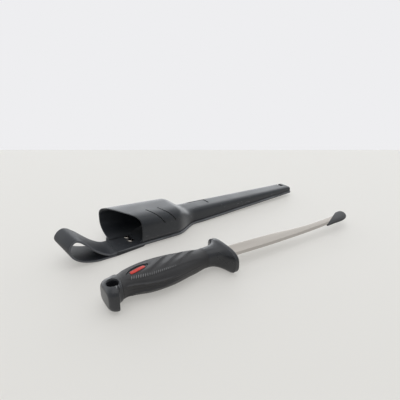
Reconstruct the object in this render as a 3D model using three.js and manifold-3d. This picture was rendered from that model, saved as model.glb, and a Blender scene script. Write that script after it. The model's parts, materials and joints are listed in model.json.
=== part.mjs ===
// A fillet knife with its moulded belt sheath beside it, lying on a table at z = 0. Millimetres, +Z up.
// Knife frame: +X from the pommel to the tip, +Y to the spine, -Y to the edge, x = 0 at the guard's face.
// Sheath frame: +X from the mouth to the tail, +Y to the spine side, z = 0 at the back plate's underside.
import * as THREE from "three";
import { mergeVertices } from "three/addons/utils/BufferGeometryUtils.js";
import Module from "manifold-3d";

const wasm = await Module();
wasm.setup();

// Fits
const GAP = 0.3; // between pieces that touch
const DRAW_CLEARANCE = 0.5; // around the guard in the sheath
const BLADE_PLAY = 3; // beside the blade in the sheath's channel
const OVERLAP = 1; // how far joined bodies and cuts run past each other

// Blade
const BLADE_LENGTH = 175; // guard face to tip
const BLADE_THICKNESS = 2;
const EDGE_THICKNESS = 0.3;
const BEVEL_WIDTH = 3.2; // ground strip along the edge
const BEVEL_SHARE = 0.6; // the most of the blade's width that the bevel takes near the tip
const BLADE_SEAT = 4; // depth of the blade's root inside the guard
const BELLY_AT = 60; // from the guard's face
const WAIST_AT = 118;
const RISE_FROM_TIP = 35;
const SWEEP_FROM_TIP = 7;
const SPINE_AT_ROOT = 11.4; // the spine's height at the guard, the belly and its lowest point
const SPINE_AT_BELLY = 8.3;
const SPINE_AT_WAIST = 3.4;
const EDGE_AT_ROOT = -7.6; // the edge's height at the guard, the belly and where it rises and sweeps up
const EDGE_AT_BELLY = -9.2;
const EDGE_AT_RISE = -6.2;
const EDGE_AT_SWEEP = -1.9;
const TIP_HEIGHT = 6.4;
const TIP_BLUNTNESS = 1; // height of the blade's very end
const TANG_LENGTH = 82;
const TANG_WIDTH = 8;

// Tip guard
const TIP_GUARD_MARGIN = 1.6; // wall beyond the blade's edge
const TIP_GUARD_SPINE_MARGIN = 4.6; // and beyond its spine
const TIP_GUARD_END = 4; // wall past the tip
const TIP_GUARD_THICKNESS = 4.4;
const TIP_GUARD_NOSE = 4; // length of its rounded end
const TIP_GUARD_NOSE_SHARE = 0.15; // what is left of its width and thickness at the very end
const TIP_GUARD_SQUARENESS = 3; // power of its superellipse sections
const TIP_GUARD_EDGE_LENGTH = 39; // its slanting mouth starts this far behind the tip on the edge side
const TIP_GUARD_SPINE_LENGTH = 4.3; // and ends this far behind it on the spine side

// Handle
const HANDLE_LENGTH = 123.5;
const POMMEL_LENGTH = 15.2; // from the sleeve's rear end to the pommel's end
const GUARD_EDGE_SIDE = -24.6; // reach of the guard's two horns
const GUARD_SPINE_SIDE = 23.3;
const GUARD_THICKNESS = 24;
const GUARD_RIM = 2.6; // length of the rim along the handle
const GUARD_ROUNDING = 2;
const GUARD_FLARE = 3; // power of the hollow curve from the neck to the rim
const GUARD_SPINE_FLARE = 5; // the spine horn is thinner, so its curve turns up later
const NECK_AT = 21.7;
const NECK_WIDTH = 18.6;
const NECK_THICKNESS = 18.6;
const NECK_CENTRE = 4;
const PALM_AT = 41;
const PALM_WIDTH = 26.2;
const PALM_THICKNESS = 20.2;
const PALM_CENTRE = 3.6;
const SWELL_START_AT = 60;
const SWELL_FROM_HEEL = 17; // the swell ends this far in front of the heel
const SWELL_WIDTH = 33;
const SWELL_THICKNESS = 22.6;
const SWELL_CENTRE = 3;
const HEEL_FROM_END = 24.5; // the grip's narrowing behind the palm, from the pommel's end
const HEEL_WIDTH = 25.2;
const HEEL_THICKNESS = 20.4;
const HEEL_CENTRE = 3;
const SLEEVE_END_WIDTH = 22;
const SLEEVE_END_THICKNESS = 19.6;
const SLEEVE_END_CENTRE = 0.4;
const GRIP_WALL = 2.6; // soft sleeve over the hard core
const HANDLE_SQUARENESS = 2.4; // power of the superellipse sections
const GUARD_SQUARENESS = 3;
const POMMEL_SQUARENESS = 4;

// Pommel
const BEAK_FROM_END = 8; // the hook's widest place, from the pommel's end
const BEAK_REACH = -20.6; // the hook on the edge side
const BEAK_SPINE_SIDE = 7.6;
const THROAT_FROM_BEAK = 2.5; // the hollow in front of the hook
const THROAT_REACH = -13.5;
const POMMEL_THICKNESS = 22;
const POMMEL_STEP = 0.6; // the pommel's front edge stands this much proud of the sleeve's end
const POMMEL_END_ROUNDING = 4.8;
const LANYARD_HOLE = 10;
const LANYARD_HOLE_Y = -5.6;
const LANYARD_COUNTERSINK = 1.4;

// Badge in the sleeve
const BADGE_LENGTH = 22.5;
const BADGE_WIDTH = 8.8;
const BADGE_THICKNESS = 0.9;
const BADGE_DEPTH = 0.4; // its face below the sleeve's surface
const BADGE_FROM_HEEL = 9; // its middle, in front of the heel
const BADGE_Y = 2.4;
const BADGE_POINTEDNESS = 1.5; // power that draws the badge's ends out to points
const BADGE_TURN = THREE.MathUtils.degToRad(12);

// Sheath
const SHEATH_WALL = 1.8;
const SEAT_AT = 78; // where the guard stops, from the mouth
const SHOULDER_LENGTH = 40; // from the seat to the blade's channel
const SHOULDER_DROP = 22; // from the seat to where the shell is down to the channel's height
const WAIST_LEAD = 4; // the shell starts to narrow this much before the seat
const WAIST_LENGTH = 34;
const TAIL_ROOM = 4; // past the blade's tip
const TAIL_BLOCK = 17; // solid end with the lashing notch
const MOUTH_FLARE = 0.8; // extra half width at the mouth
const MOUTH_HEIGHT = 33.8;
const CHANNEL_HEIGHT = 17.6;
const TAIL_HEIGHT = 12.4;
const TAIL_WIDTH = 20;
const TAIL_RISE = 5; // the channel's underside rises this much to the tail
const CHANNEL_OFFSET = 4.5; // the channel lies towards the spine side
const SHELL_SINK = 1.1; // how far the shell's full section would reach below the plate
const SHELL_SQUARENESS = 4.2; // powers of the shell's superellipse corners
const UNDERCUT_SQUARENESS = 2;
const CHANNEL_SQUARENESS = 4.5;
const RIM_SLANT = 27; // the spine side of the mouth reaches this much further than the edge side
const RIM_START = 3.3;
const PLATE_THICKNESS = 2.2;
const PLATE_FLANGE = 2.2; // lip of the back plate past the shell
const PLATE_BEVEL = 1.5; // width and height of the lip's sloping upper edge
const SLIT_WIDTH = 1.3;
const SLIT_AT = 42.9; // upper end of the first slit's line, level with the mouth's top
const SLIT_SPACING = 13.9;
const SLIT_TOP_Y = -7;
const SLIT_LOW_Z = 19.5;
const SLIT_LEAN_ACROSS = 0.3; // the slits run to the tail by this share of their way to the edge side
const SLIT_LEAN_DOWN = 0.65; // and by this share of their way down
const LABEL_LENGTH = 25;
const LABEL_WIDTH = 13.3;
const LABEL_AT = 111;
const LABEL_OFFSET = 7.6; // its middle line
const LABEL_GROOVE = 2;
const LABEL_DEPTH = 0.8;
const NOTCH_LENGTH = 5.4;
const NOTCH_FROM_END = 5;
const NOTCH_DEPTH = 11;

// Belt strap: the back plate's tongue, folded into a loop and riveted under the plate
const STRAP_WIDTH = 30.5;
const STRAP_SPINE_SIDE = 2;
const STRAP_EDGE_BREAK = 0.2; // what is left of the lip's bevel where the plate runs into the strap
const TAB_LENGTH = 35;
const TAB_TAPER = 3.5; // the tab's edge side draws in by this much
const LOOP_REACH = 50.4;
const LOOP_HEIGHT = 27.4;
const LOOP_SPREAD_SHARE = 0.1; // the loop opens this share wider on its spine side than on its edge side
const LOOP_LIFT = 7; // rise of the loop's lower spine side off the table at its end
const LOOP_ROUTE_SHARES = [ // the loop's line over the belt, in shares of its reach and height
  [0.14, 0.04], [0.27, 0.14], [0.41, 0.32], [0.55, 0.57], [0.68, 0.82], [0.78, 0.965], [0.86, 1],
  [0.95, 0.9], [1, 0.67], [0.96, 0.42], [0.83, 0.18], [0.63, 0.02],
];
const LOOP_FLAT_SHARES = [0.41, 0.2]; // shares of the reach where the loop lies flat on the table

// Rivets
const RIVET_AT = 22;
const RIVET_SPACING = 9.2;
const RIVET_FIRST_Y = -4;
const RIVET_HEAD = 6.4;
const RIVET_HEAD_HEIGHT = 1.6;
const RIVET_SHANK = 3;
const WASHER_DIAMETER = 6.4;
const WASHER_THICKNESS = 0.7;

// Places on the table
const SHEATH_X = -85.2; // the sheath's mouth in the knife's frame
const SHEATH_Y = 98.6;
const SHEATH_TURN = THREE.MathUtils.degToRad(2.8);

// Facets
const SECTION_POINTS = 32;
const BLADE_STEPS = 12;
const RISE_STEPS = 8;
const SWEEP_STEPS = 5;
const ROUND_POINTS = 24;
const LOOP_STEPS = 32;
const ROUNDING_STEPS = 5;
const FLARE_STEPS = 8;
const GRIP_STEPS = 18;
const SHELL_STEPS = 8;

function material(color, roughness, metalness) {
  return new THREE.MeshStandardMaterial({ color, roughness, metalness });
}
const hardPlastic = () => material(0x2b2c2e, 0.38, 0);
const softGrip = () => material(0x333336, 0.75, 0);
const sheathPlastic = () => material(0x38393c, 0.45, 0);
const strapPlastic = () => material(0x404145, 0.5, 0);
const steel = () => material(0xc9c7c2, 0.32, 1);

// A closed geometry as a solid, with only its positions left and shared vertices merged.
function solid(geometry) {
  const bare = geometry.index ? geometry.toNonIndexed() : geometry.clone();
  bare.deleteAttribute("normal");
  bare.deleteAttribute("uv");
  const merged = mergeVertices(bare, 1e-4);
  const triVerts = new Uint32Array(merged.index.array);
  const vertProperties = merged.attributes.position.array;
  return new wasm.Manifold(new wasm.Mesh({ numProp: 3, vertProperties, triVerts }));
}

// A solid as a named mesh.
function piece(name, body, look) {
  const mesh = body.getMesh();
  const geometry = new THREE.BufferGeometry();
  geometry.setAttribute("position", new THREE.BufferAttribute(mesh.vertProperties, 3));
  geometry.setIndex(new THREE.BufferAttribute(mesh.triVerts, 1));
  const made = new THREE.Mesh(geometry, look);
  made.name = name;
  return made;
}

// A body through rings of equally many points, which run along +X and turn from +Y to +Z.
function loft(rings) {
  const count = rings[0].length;
  const points = rings.flat();
  const triangles = [];
  for (let i = 0; i < count; i++) {
    const next = (i + 1) % count;
    for (let r = 0; r + 1 < rings.length; r++) {
      const low = r * count;
      const high = low + count;
      triangles.push(low + i, low + next, high + next, low + i, high + next, high + i);
    }
    const last = (rings.length - 1) * count;
    triangles.push(points.length, next, i, points.length + 1, last + i, last + next);
  }
  for (const ring of [rings[0], rings.at(-1)]) {
    const centre = new THREE.Vector3();
    ring.forEach((point) => centre.addScaledVector(point, 1 / count));
    points.push(centre);
  }
  const geometry = new THREE.BufferGeometry().setFromPoints(points);
  geometry.setIndex(triangles);
  return solid(geometry);
}

// A block between two corners.
function block(from, to) {
  const size = new THREE.Vector3().subVectors(to, from);
  const geometry = new THREE.BoxGeometry(size.x, size.y, size.z);
  const middle = new THREE.Vector3().addVectors(from, to).multiplyScalar(0.5);
  return solid(geometry.translate(middle.x, middle.y, middle.z));
}

// A plan outline raised from z = low to z = high.
function plan(points, low, high) {
  const shape = new THREE.Shape(points.map(([x, y]) => new THREE.Vector2(x, y)));
  const geometry = new THREE.ExtrudeGeometry(shape, { depth: high - low, bevelEnabled: false });
  return solid(geometry.translate(0, 0, low));
}

// Everything on the -X side of the slanting line through two plan points, out to reach all round.
function behindLine([x1, y1], [x2, y2], reach) {
  const lineX = (y) => x1 + ((x2 - x1) * (y - y1)) / (y2 - y1);
  const back = Math.min(lineX(-reach), lineX(reach)) - reach;
  return plan([[back, -reach], [lineX(-reach), -reach], [lineX(reach), reach], [back, reach]], -reach, reach);
}

// A body of revolution about the vertical line through x, y, from a profile of [radius, z] points.
function turned(profile, x, y) {
  const geometry = new THREE.LatheGeometry(profile.map(([r, z]) => new THREE.Vector2(r, z)), ROUND_POINTS);
  return solid(geometry.rotateX(Math.PI / 2).translate(x, y, 0));
}

// A smooth curve through stations of [x, ...values], read at any x between them.
function along(stations) {
  const places = stations.map((station) => station[0]);
  const values = stations.flatMap((station) => station.slice(1));
  const width = stations[0].length - 1;
  const curve = new THREE.CubicInterpolant(places, values, width);
  return (x) => Array.from(curve.evaluate(x));
}

// Equal steps from one number to another, both ends included.
function steps(from, to, count) {
  return Array.from({ length: count + 1 }, (_, i) => from + ((to - from) * i) / count);
}

// A superellipse section at x, half as wide and high as halves, round the point y, z.
function section(x, y, z, halfWidth, halfHeight, squareness) {
  return steps(0, 2 * Math.PI, SECTION_POINTS)
    .slice(0, -1)
    .map((turn) => {
      const [c, s] = [Math.cos(turn), Math.sin(turn)];
      const power = squareness instanceof Function ? squareness(c, s) : squareness;
      const reach = (Math.abs(c) ** power + Math.abs(s) ** power) ** (-1 / power);
      return new THREE.Vector3(x, y + halfWidth * c * reach, z + halfHeight * s * reach);
    });
}

// Handle: edge side, spine side and thickness at each station from the pommel to the neck
const beakAt = HANDLE_LENGTH - BEAK_FROM_END;
const sleeveEndAt = HANDLE_LENGTH - POMMEL_LENGTH;
const pommelFrontAt = sleeveEndAt + GAP;
const heelAt = HANDLE_LENGTH - HEEL_FROM_END;
const swellEndAt = heelAt - SWELL_FROM_HEEL;
const badgeAt = heelAt - BADGE_FROM_HEEL;
const span = (at, width, thickness, centre) => [-at, centre - width / 2, centre + width / 2, thickness];
const pommelFrontWidth = SLEEVE_END_WIDTH + 2 * POMMEL_STEP;
const pommelFrontThickness = SLEEVE_END_THICKNESS + 2 * POMMEL_STEP;
const pommelFront = span(pommelFrontAt, pommelFrontWidth, pommelFrontThickness, SLEEVE_END_CENTRE);
const throatShare = THROAT_FROM_BEAK / (beakAt - pommelFrontAt);
const pommelOutline = along([
  [-beakAt, BEAK_REACH, BEAK_SPINE_SIDE, POMMEL_THICKNESS],
  [
    THROAT_FROM_BEAK - beakAt,
    THROAT_REACH,
    THREE.MathUtils.lerp(BEAK_SPINE_SIDE, pommelFront[2], throatShare),
    THREE.MathUtils.lerp(POMMEL_THICKNESS, pommelFront[3], throatShare),
  ],
  pommelFront,
]);
const gripOutline = along([
  span(sleeveEndAt, SLEEVE_END_WIDTH, SLEEVE_END_THICKNESS, SLEEVE_END_CENTRE),
  span(heelAt, HEEL_WIDTH, HEEL_THICKNESS, HEEL_CENTRE),
  span(swellEndAt, SWELL_WIDTH, SWELL_THICKNESS, SWELL_CENTRE),
  span(SWELL_START_AT, SWELL_WIDTH, SWELL_THICKNESS, SWELL_CENTRE),
  span(PALM_AT, PALM_WIDTH, PALM_THICKNESS, PALM_CENTRE),
  span(NECK_AT, NECK_WIDTH, NECK_THICKNESS, NECK_CENTRE),
]);

// One handle section from its outline, drawn in by inset all round.
function handleSection(x, [edge, spine, thickness], inset, squareness) {
  const halfWidth = (spine - edge) / 2 - inset;
  return section(x, (edge + spine) / 2, 0, halfWidth, thickness / 2 - inset, squareness);
}

// The grip's outer form, drawn in by inset, from x = from to x = to.
function gripForm(inset, from, to, count) {
  const rings = steps(from, to, count).map((x) => handleSection(x, gripOutline(x), inset, HANDLE_SQUARENESS));
  return loft(rings);
}

// The pommel with its hook: a rounded end, then full sections up to the sleeve.
function pommelForm() {
  const beak = pommelOutline(-beakAt);
  const rings = steps(Math.PI / 2, 0, ROUNDING_STEPS).map((turn) => {
    const inset = POMMEL_END_ROUNDING * (1 - Math.cos(turn));
    return handleSection(-beakAt - BEAK_FROM_END * Math.sin(turn), beak, inset, POMMEL_SQUARENESS);
  });
  for (const x of steps(-beakAt, -pommelFrontAt, ROUNDING_STEPS).slice(1)) {
    const share = (x + beakAt) / (beakAt - pommelFrontAt);
    const squareness = THREE.MathUtils.lerp(POMMEL_SQUARENESS, HANDLE_SQUARENESS, share);
    rings.push(handleSection(x, pommelOutline(x), 0, squareness));
  }
  return loft(rings);
}

// The guard: a hollow flare from the neck to the rim, then the rounded rim and its flat face.
function guardForm() {
  const neck = gripOutline(-NECK_AT);
  const rim = [GUARD_EDGE_SIDE, GUARD_SPINE_SIDE, GUARD_THICKNESS];
  const powers = [GUARD_FLARE, GUARD_SPINE_FLARE, GUARD_FLARE];
  const rings = steps(0, 1, FLARE_STEPS).map((share) => {
    const x = THREE.MathUtils.lerp(-NECK_AT + GAP, -GUARD_RIM, share);
    const outline = neck.map((value, i) => THREE.MathUtils.lerp(value, rim[i], share ** powers[i]));
    const squareness = THREE.MathUtils.lerp(HANDLE_SQUARENESS, GUARD_SQUARENESS, share);
    return handleSection(x, outline, 0, squareness);
  });
  for (const turn of steps(0, Math.PI / 2, ROUNDING_STEPS)) {
    const inset = GUARD_ROUNDING * (1 - Math.cos(turn));
    const x = -GUARD_ROUNDING * (1 - Math.sin(turn));
    rings.push(handleSection(x, rim, inset, GUARD_SQUARENESS));
  }
  return loft(rings);
}

// Blade: the heights of its spine and its edge along its length
const riseAt = BLADE_LENGTH - RISE_FROM_TIP;
const sweepAt = BLADE_LENGTH - SWEEP_FROM_TIP;
const spineCurve = along([
  [-BLADE_SEAT, SPINE_AT_ROOT],
  [BELLY_AT, SPINE_AT_BELLY],
  [WAIST_AT, SPINE_AT_WAIST],
  [BLADE_LENGTH, TIP_HEIGHT],
]);
const edgeCurve = along([
  [-BLADE_SEAT, EDGE_AT_ROOT],
  [BELLY_AT, EDGE_AT_BELLY],
  [riseAt, EDGE_AT_RISE],
  [sweepAt, EDGE_AT_SWEEP],
  [BLADE_LENGTH, TIP_HEIGHT - TIP_BLUNTNESS],
]);
const spineAt = (x) => spineCurve(x)[0];
const edgeAt = (x) => edgeCurve(x)[0];
const tipStations = [
  ...steps(riseAt, sweepAt, RISE_STEPS),
  ...steps(sweepAt, BLADE_LENGTH, SWEEP_STEPS).slice(1),
];

// One wedge section of the blade: flat sides, then the bevel down to the edge, grown by extra all round.
function bladeSection(x, extra) {
  const [spine, edge] = [spineAt(x), edgeAt(x)];
  const bevel = Math.min(edge + BEVEL_WIDTH, THREE.MathUtils.lerp(edge, spine, BEVEL_SHARE));
  const side = BLADE_THICKNESS / 2 + extra;
  const lip = EDGE_THICKNESS / 2 + extra;
  const outline = [[spine + extra, side], [bevel, side], [edge - extra, lip]];
  const mirrored = outline.toReversed().map(([y, z]) => [y, -z]);
  return [...outline, ...mirrored].map(([y, z]) => new THREE.Vector3(x, y, z));
}

// The tang in the handle, grown by extra all round.
function tangForm(extra) {
  const half = TANG_WIDTH / 2 + extra;
  const side = BLADE_THICKNESS / 2 + extra;
  const from = new THREE.Vector3(-TANG_LENGTH - extra, NECK_CENTRE - half, -side);
  return block(from, new THREE.Vector3(OVERLAP - BLADE_SEAT, NECK_CENTRE + half, side));
}

function makeBlade() {
  const stations = [...steps(-BLADE_SEAT, riseAt, BLADE_STEPS).slice(0, -1), ...tipStations];
  return loft(stations.map((x) => bladeSection(x, 0))).add(tangForm(0));
}

// The slot in the handle for the blade's root and its tang.
function bladeSlot() {
  const root = bladeSection(-BLADE_SEAT, GAP);
  const rings = [-BLADE_SEAT - GAP, OVERLAP].map((x) => root.map((point) => point.clone().setX(x)));
  return loft(rings).add(tangForm(GAP));
}

// The slip-on tip guard: a rounded leaf round the blade's end, with a pocket that lets it slide off along +X.
function makeTipGuard() {
  const margin = TIP_GUARD_MARGIN;
  const end = BLADE_LENGTH + TIP_GUARD_END;
  const back = BLADE_LENGTH - TIP_GUARD_EDGE_LENGTH;
  const noseStart = end - TIP_GUARD_NOSE;
  const turns = steps(0, Math.PI / 2, ROUNDING_STEPS).slice(1);
  const nose = turns.map((turn) => noseStart + TIP_GUARD_NOSE * Math.sin(turn));
  const swept = steps(sweepAt, noseStart, SWEEP_STEPS).slice(1);
  const rings = [...steps(back, sweepAt, FLARE_STEPS), ...swept, ...nose].map((x) => {
    const spine = spineAt(Math.min(x, BLADE_LENGTH)) + TIP_GUARD_SPINE_MARGIN;
    const edge = edgeAt(x - TIP_GUARD_END) - margin;
    const past = THREE.MathUtils.clamp((x - noseStart) / TIP_GUARD_NOSE, 0, 1);
    const shrink = THREE.MathUtils.lerp(TIP_GUARD_NOSE_SHARE, 1, Math.sqrt(1 - past ** 2));
    const half = (shrink * TIP_GUARD_THICKNESS) / 2;
    return section(x, (spine + edge) / 2, 0, (shrink * (spine - edge)) / 2, half, TIP_GUARD_SQUARENESS);
  });
  const ceiling = TIP_HEIGHT + GAP;
  const side = BLADE_THICKNESS / 2 + GAP;
  const pocketRing = (x, floor) => [[ceiling, side], [floor, side], [floor, -side], [ceiling, -side]]
    .map(([y, z]) => new THREE.Vector3(x, y, z));
  const pocketRings = tipStations.map((x) => pocketRing(x, edgeAt(x) - GAP));
  pocketRings.unshift(pocketRing(back - OVERLAP, edgeAt(back - OVERLAP) - GAP));
  pocketRings.push(pocketRing(BLADE_LENGTH + GAP, edgeAt(BLADE_LENGTH) - GAP));
  const mouth = behindLine(
    [back, edgeAt(back) - margin],
    [BLADE_LENGTH - TIP_GUARD_SPINE_LENGTH, TIP_HEIGHT + TIP_GUARD_SPINE_MARGIN],
    TIP_GUARD_EDGE_LENGTH,
  );
  return loft(rings).subtract(loft(pocketRings)).subtract(mouth);
}

// The almond of the badge, grown by extra, as a tall plan prism over the sleeve's upper face.
function badgeColumn(extra) {
  const [long, wide] = [BADGE_LENGTH / 2 + extra, BADGE_WIDTH / 2 + extra];
  const [c, s] = [Math.cos(BADGE_TURN), Math.sin(BADGE_TURN)];
  const outline = steps(0, 2 * Math.PI, ROUND_POINTS).slice(0, -1).map((turn) => {
    const u = long * Math.cos(turn);
    const v = wide * Math.sign(Math.sin(turn)) * Math.abs(Math.sin(turn)) ** BADGE_POINTEDNESS;
    return [-badgeAt + u * c - v * s, BADGE_Y + u * s + v * c];
  });
  return plan(outline, 0, SWELL_THICKNESS);
}

const gripEnds = [-sleeveEndAt, -NECK_AT];
const badgeForm = (inset) => gripForm(inset, gripEnds[0] - OVERLAP, gripEnds[1] + OVERLAP, GRIP_STEPS);

function makeBadge() {
  return badgeColumn(0).intersect(badgeForm(BADGE_DEPTH)).subtract(badgeForm(BADGE_DEPTH + BADGE_THICKNESS));
}

function makeGripSleeve() {
  const recess = badgeColumn(GAP).subtract(badgeForm(BADGE_DEPTH + BADGE_THICKNESS + GAP));
  const core = gripForm(GRIP_WALL, gripEnds[0] - OVERLAP, gripEnds[1] + OVERLAP, GRIP_STEPS);
  return gripForm(0, gripEnds[0], gripEnds[1], GRIP_STEPS).subtract(core).subtract(recess);
}

// The hard core: a bar inside the sleeve with the pommel and the guard at its ends.
function makeHandleCore() {
  const bar = gripForm(GRIP_WALL + GAP, gripEnds[0] - OVERLAP, gripEnds[1] + OVERLAP, GRIP_STEPS);
  const [radius, tall] = [LANYARD_HOLE / 2, POMMEL_THICKNESS];
  const sink = POMMEL_THICKNESS / 2 - LANYARD_COUNTERSINK;
  const flare = radius + tall - sink;
  const hole = turned([
    [0, -tall], [flare, -tall], [radius, -sink], [radius, sink], [flare, tall], [0, tall],
  ], -beakAt, LANYARD_HOLE_Y);
  return bar.add(pommelForm()).add(guardForm()).subtract(bladeSlot()).subtract(hole);
}

// Sheath: the shell's sections from the mouth to the tail
const innerHalfGuard = (GUARD_SPINE_SIDE - GUARD_EDGE_SIDE) / 2 + DRAW_CLEARANCE;
const shellBase = PLATE_THICKNESS + GAP;
const seatHeight = shellBase + GUARD_THICKNESS + 2 * DRAW_CLEARANCE + SHEATH_WALL;
const bladeWidth = SPINE_AT_ROOT - EDGE_AT_ROOT;
const channelStart = SEAT_AT + SHOULDER_LENGTH;
const cavityEnd = SEAT_AT + BLADE_LENGTH + TAIL_ROOM;
const sheathLength = cavityEnd + TAIL_BLOCK;
const channelHalf = bladeWidth / 2 + BLADE_PLAY + SHEATH_WALL;

// How far x lies on the way from the mouth to the seat, and along the channel, from 0 to 1.
const inward = (x) => THREE.MathUtils.clamp(x / SEAT_AT, 0, 1);
const alongChannel = (x) => THREE.MathUtils.clamp((x - channelStart) / (sheathLength - channelStart), 0, 1);

// How far the shell has come down over the shoulder at x, from 0 to 1.
const lowered = (x) => THREE.MathUtils.smoothstep(x, SEAT_AT, SEAT_AT + SHOULDER_DROP);

// Half width, height and centre line of the shell at x.
function shellSize(x) {
  const taper = alongChannel(x);
  const seatHalf = innerHalfGuard + SHEATH_WALL + MOUTH_FLARE * (1 - inward(x));
  const narrowHalf = THREE.MathUtils.lerp(channelHalf, TAIL_WIDTH / 2, taper);
  const narrowed = THREE.MathUtils.smoothstep(x, SEAT_AT - WAIST_LEAD, SEAT_AT - WAIST_LEAD + WAIST_LENGTH);
  const tall = THREE.MathUtils.lerp(MOUTH_HEIGHT, seatHeight, inward(x));
  const flat = THREE.MathUtils.lerp(CHANNEL_HEIGHT, TAIL_HEIGHT, taper);
  const half = THREE.MathUtils.lerp(seatHalf, narrowHalf, narrowed);
  return [half, THREE.MathUtils.lerp(tall, flat, lowered(x)), CHANNEL_OFFSET * narrowed];
}

// Powers of the shell's corners: round under the spine side at the mouth, and squarer along the channel.
function shellSquareness(x) {
  const corner = (round) => THREE.MathUtils.lerp(round, CHANNEL_SQUARENESS, lowered(x));
  const underSpine = THREE.MathUtils.lerp(UNDERCUT_SQUARENESS, SHELL_SQUARENESS, inward(x));
  return (c, s) => corner(c > 0 && s < 0 ? underSpine : SHELL_SQUARENESS);
}

// The height of the plate's underside at x: flat under the mouth, then rising along the channel.
const underside = (x) => TAIL_RISE * alongChannel(x);

// The height of the middle of the shell's full section, whose lowest part is cut off at the plate.
const shellMiddle = (x, height) => (height + underside(x) - SHELL_SINK) / 2;

// The share of the section's lower half that is kept under the spine side: at the mouth it ends on the plate.
function undercut(x, height) {
  const middle = shellMiddle(x, height);
  return THREE.MathUtils.lerp((middle - PLATE_THICKNESS) / (height - middle), 1, inward(x));
}

// One shell section, drawn in by inset.
function shellSection(x, inset) {
  const [half, height, centre] = shellSize(x);
  const middle = shellMiddle(x, height);
  const ring = section(x, centre, middle, half - inset, height - middle - inset, shellSquareness(x));
  for (const point of ring) {
    if (point.y > centre + GAP && point.z < middle) {
      point.z = THREE.MathUtils.lerp(middle, point.z, undercut(x, height));
    }
  }
  return ring;
}

const shellPlaces = [
  ...steps(0, SEAT_AT, SHELL_STEPS).slice(1),
  ...steps(SEAT_AT, SEAT_AT + SHOULDER_DROP, SHELL_STEPS).slice(1),
  ...steps(SEAT_AT + SHOULDER_DROP, channelStart, SHELL_STEPS).slice(1),
];

function shellForm(inset, from, to) {
  return loft([from, ...shellPlaces, to].map((x) => shellSection(x, inset)));
}

// Where the shell's outside meets the plate, on the edge side (-1) or the spine side (1).
function footAt(x, side) {
  const [half, height, centre] = shellSize(x);
  const middle = shellMiddle(x, height);
  const power = shellSquareness(x)(side, -1);
  const low = (height - middle) * (side > 0 ? undercut(x, height) : 1);
  const depth = (middle - shellBase - underside(x)) / low;
  return centre + side * half * (1 - depth ** power) ** (1 / power);
}

// The slanting rim of the mouth: its line in plan.
const rimHalf = innerHalfGuard + SHEATH_WALL;
const rimAt = (y) => RIM_START + (RIM_SLANT * (rimHalf - y)) / (2 * rimHalf);

// The notch for a lashing cord in the tail's spine side.
function lashingNotch() {
  const end = sheathLength - NOTCH_FROM_END;
  const [half, height, centre] = shellSize(end);
  const from = new THREE.Vector3(end - NOTCH_LENGTH, centre + half - NOTCH_DEPTH, -height);
  return block(from, new THREE.Vector3(end, centre + 2 * half, 2 * height));
}

// What is cut off at the mouth: a slanting rim, and a square one under the spine side.
function mouthCut() {
  const reach = 2 * rimHalf;
  const slant = behindLine([rimAt(-rimHalf), -rimHalf], [rimAt(rimHalf), rimHalf], reach);
  const kept = block(
    new THREE.Vector3(-2 * reach, 0, -2 * reach),
    new THREE.Vector3(2 * reach, 2 * reach, shellMiddle(0, MOUTH_HEIGHT)),
  );
  const square = block(new THREE.Vector3(-reach, -reach, -reach), new THREE.Vector3(RIM_START, reach, reach));
  return slant.subtract(kept).add(square);
}

// What is cut off below the shell: everything under the plate's upper face.
function belowShell() {
  const reach = 2 * rimHalf;
  return loft([-reach, channelStart, sheathLength, sheathLength + reach].map((x) => {
    const top = shellBase + underside(x);
    return [[reach, -reach], [reach, top], [-reach, top], [-reach, -reach]]
      .map(([y, z]) => new THREE.Vector3(x, y, z));
  }));
}

// One slit from the top down over the edge side, leaning to the tail.
function slit(x) {
  const [deep, tall] = [2 * rimHalf, MOUTH_HEIGHT - SLIT_LOW_Z];
  const geometry = new THREE.BoxGeometry(SLIT_WIDTH, deep, tall).translate(0, -deep / 2, -tall / 2);
  geometry.applyMatrix4(new THREE.Matrix4().makeShear(0, 0, -SLIT_LEAN_ACROSS, 0, -SLIT_LEAN_DOWN, 0));
  return solid(geometry.translate(x, SLIT_TOP_Y, MOUTH_HEIGHT));
}

function makeSheathFront() {
  const shell = shellForm(0, 0, sheathLength).subtract(shellForm(SHEATH_WALL, -OVERLAP, cavityEnd));
  return shell
    .subtract(belowShell())
    .subtract(mouthCut())
    .subtract(lashingNotch())
    .subtract(slit(SLIT_AT))
    .subtract(slit(SLIT_AT + SLIT_SPACING))
    .subtract(labelLine());
}

// The thin sunk line along two sides of the bare label place on the channel's top.
function labelLine() {
  const half = LABEL_WIDTH / 2;
  const end = LABEL_AT + LABEL_LENGTH;
  const box = (start, inset) => block(
    new THREE.Vector3(LABEL_AT - start, LABEL_OFFSET - half - start, CHANNEL_HEIGHT / 2),
    new THREE.Vector3(end - inset, LABEL_OFFSET + half - inset, 2 * CHANNEL_HEIGHT),
  );
  return box(0, 0).subtract(box(OVERLAP, LABEL_GROOVE)).subtract(shellForm(LABEL_DEPTH, 0, sheathLength));
}

// One section of the back plate: its lip past the shell, drawn out to the strap's width at the front.
function plateSection(x) {
  const tongue = THREE.MathUtils.clamp(1 - x / TAB_LENGTH, 0, 1);
  const edge = THREE.MathUtils.lerp(footAt(x, -1) - PLATE_FLANGE, strapEdgeSide, tongue);
  const spine = x < RIM_START ? STRAP_SPINE_SIDE : footAt(x, 1) + PLATE_FLANGE;
  const [low, top] = [underside(x), underside(x) + PLATE_THICKNESS];
  const bevel = THREE.MathUtils.lerp(PLATE_BEVEL, STRAP_EDGE_BREAK, tongue);
  return [
    [spine, low], [spine, top - bevel], [spine - bevel, top],
    [edge + bevel, top], [edge, top - bevel], [edge, low],
  ].map(([y, z]) => new THREE.Vector3(x, y, z));
}

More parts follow.
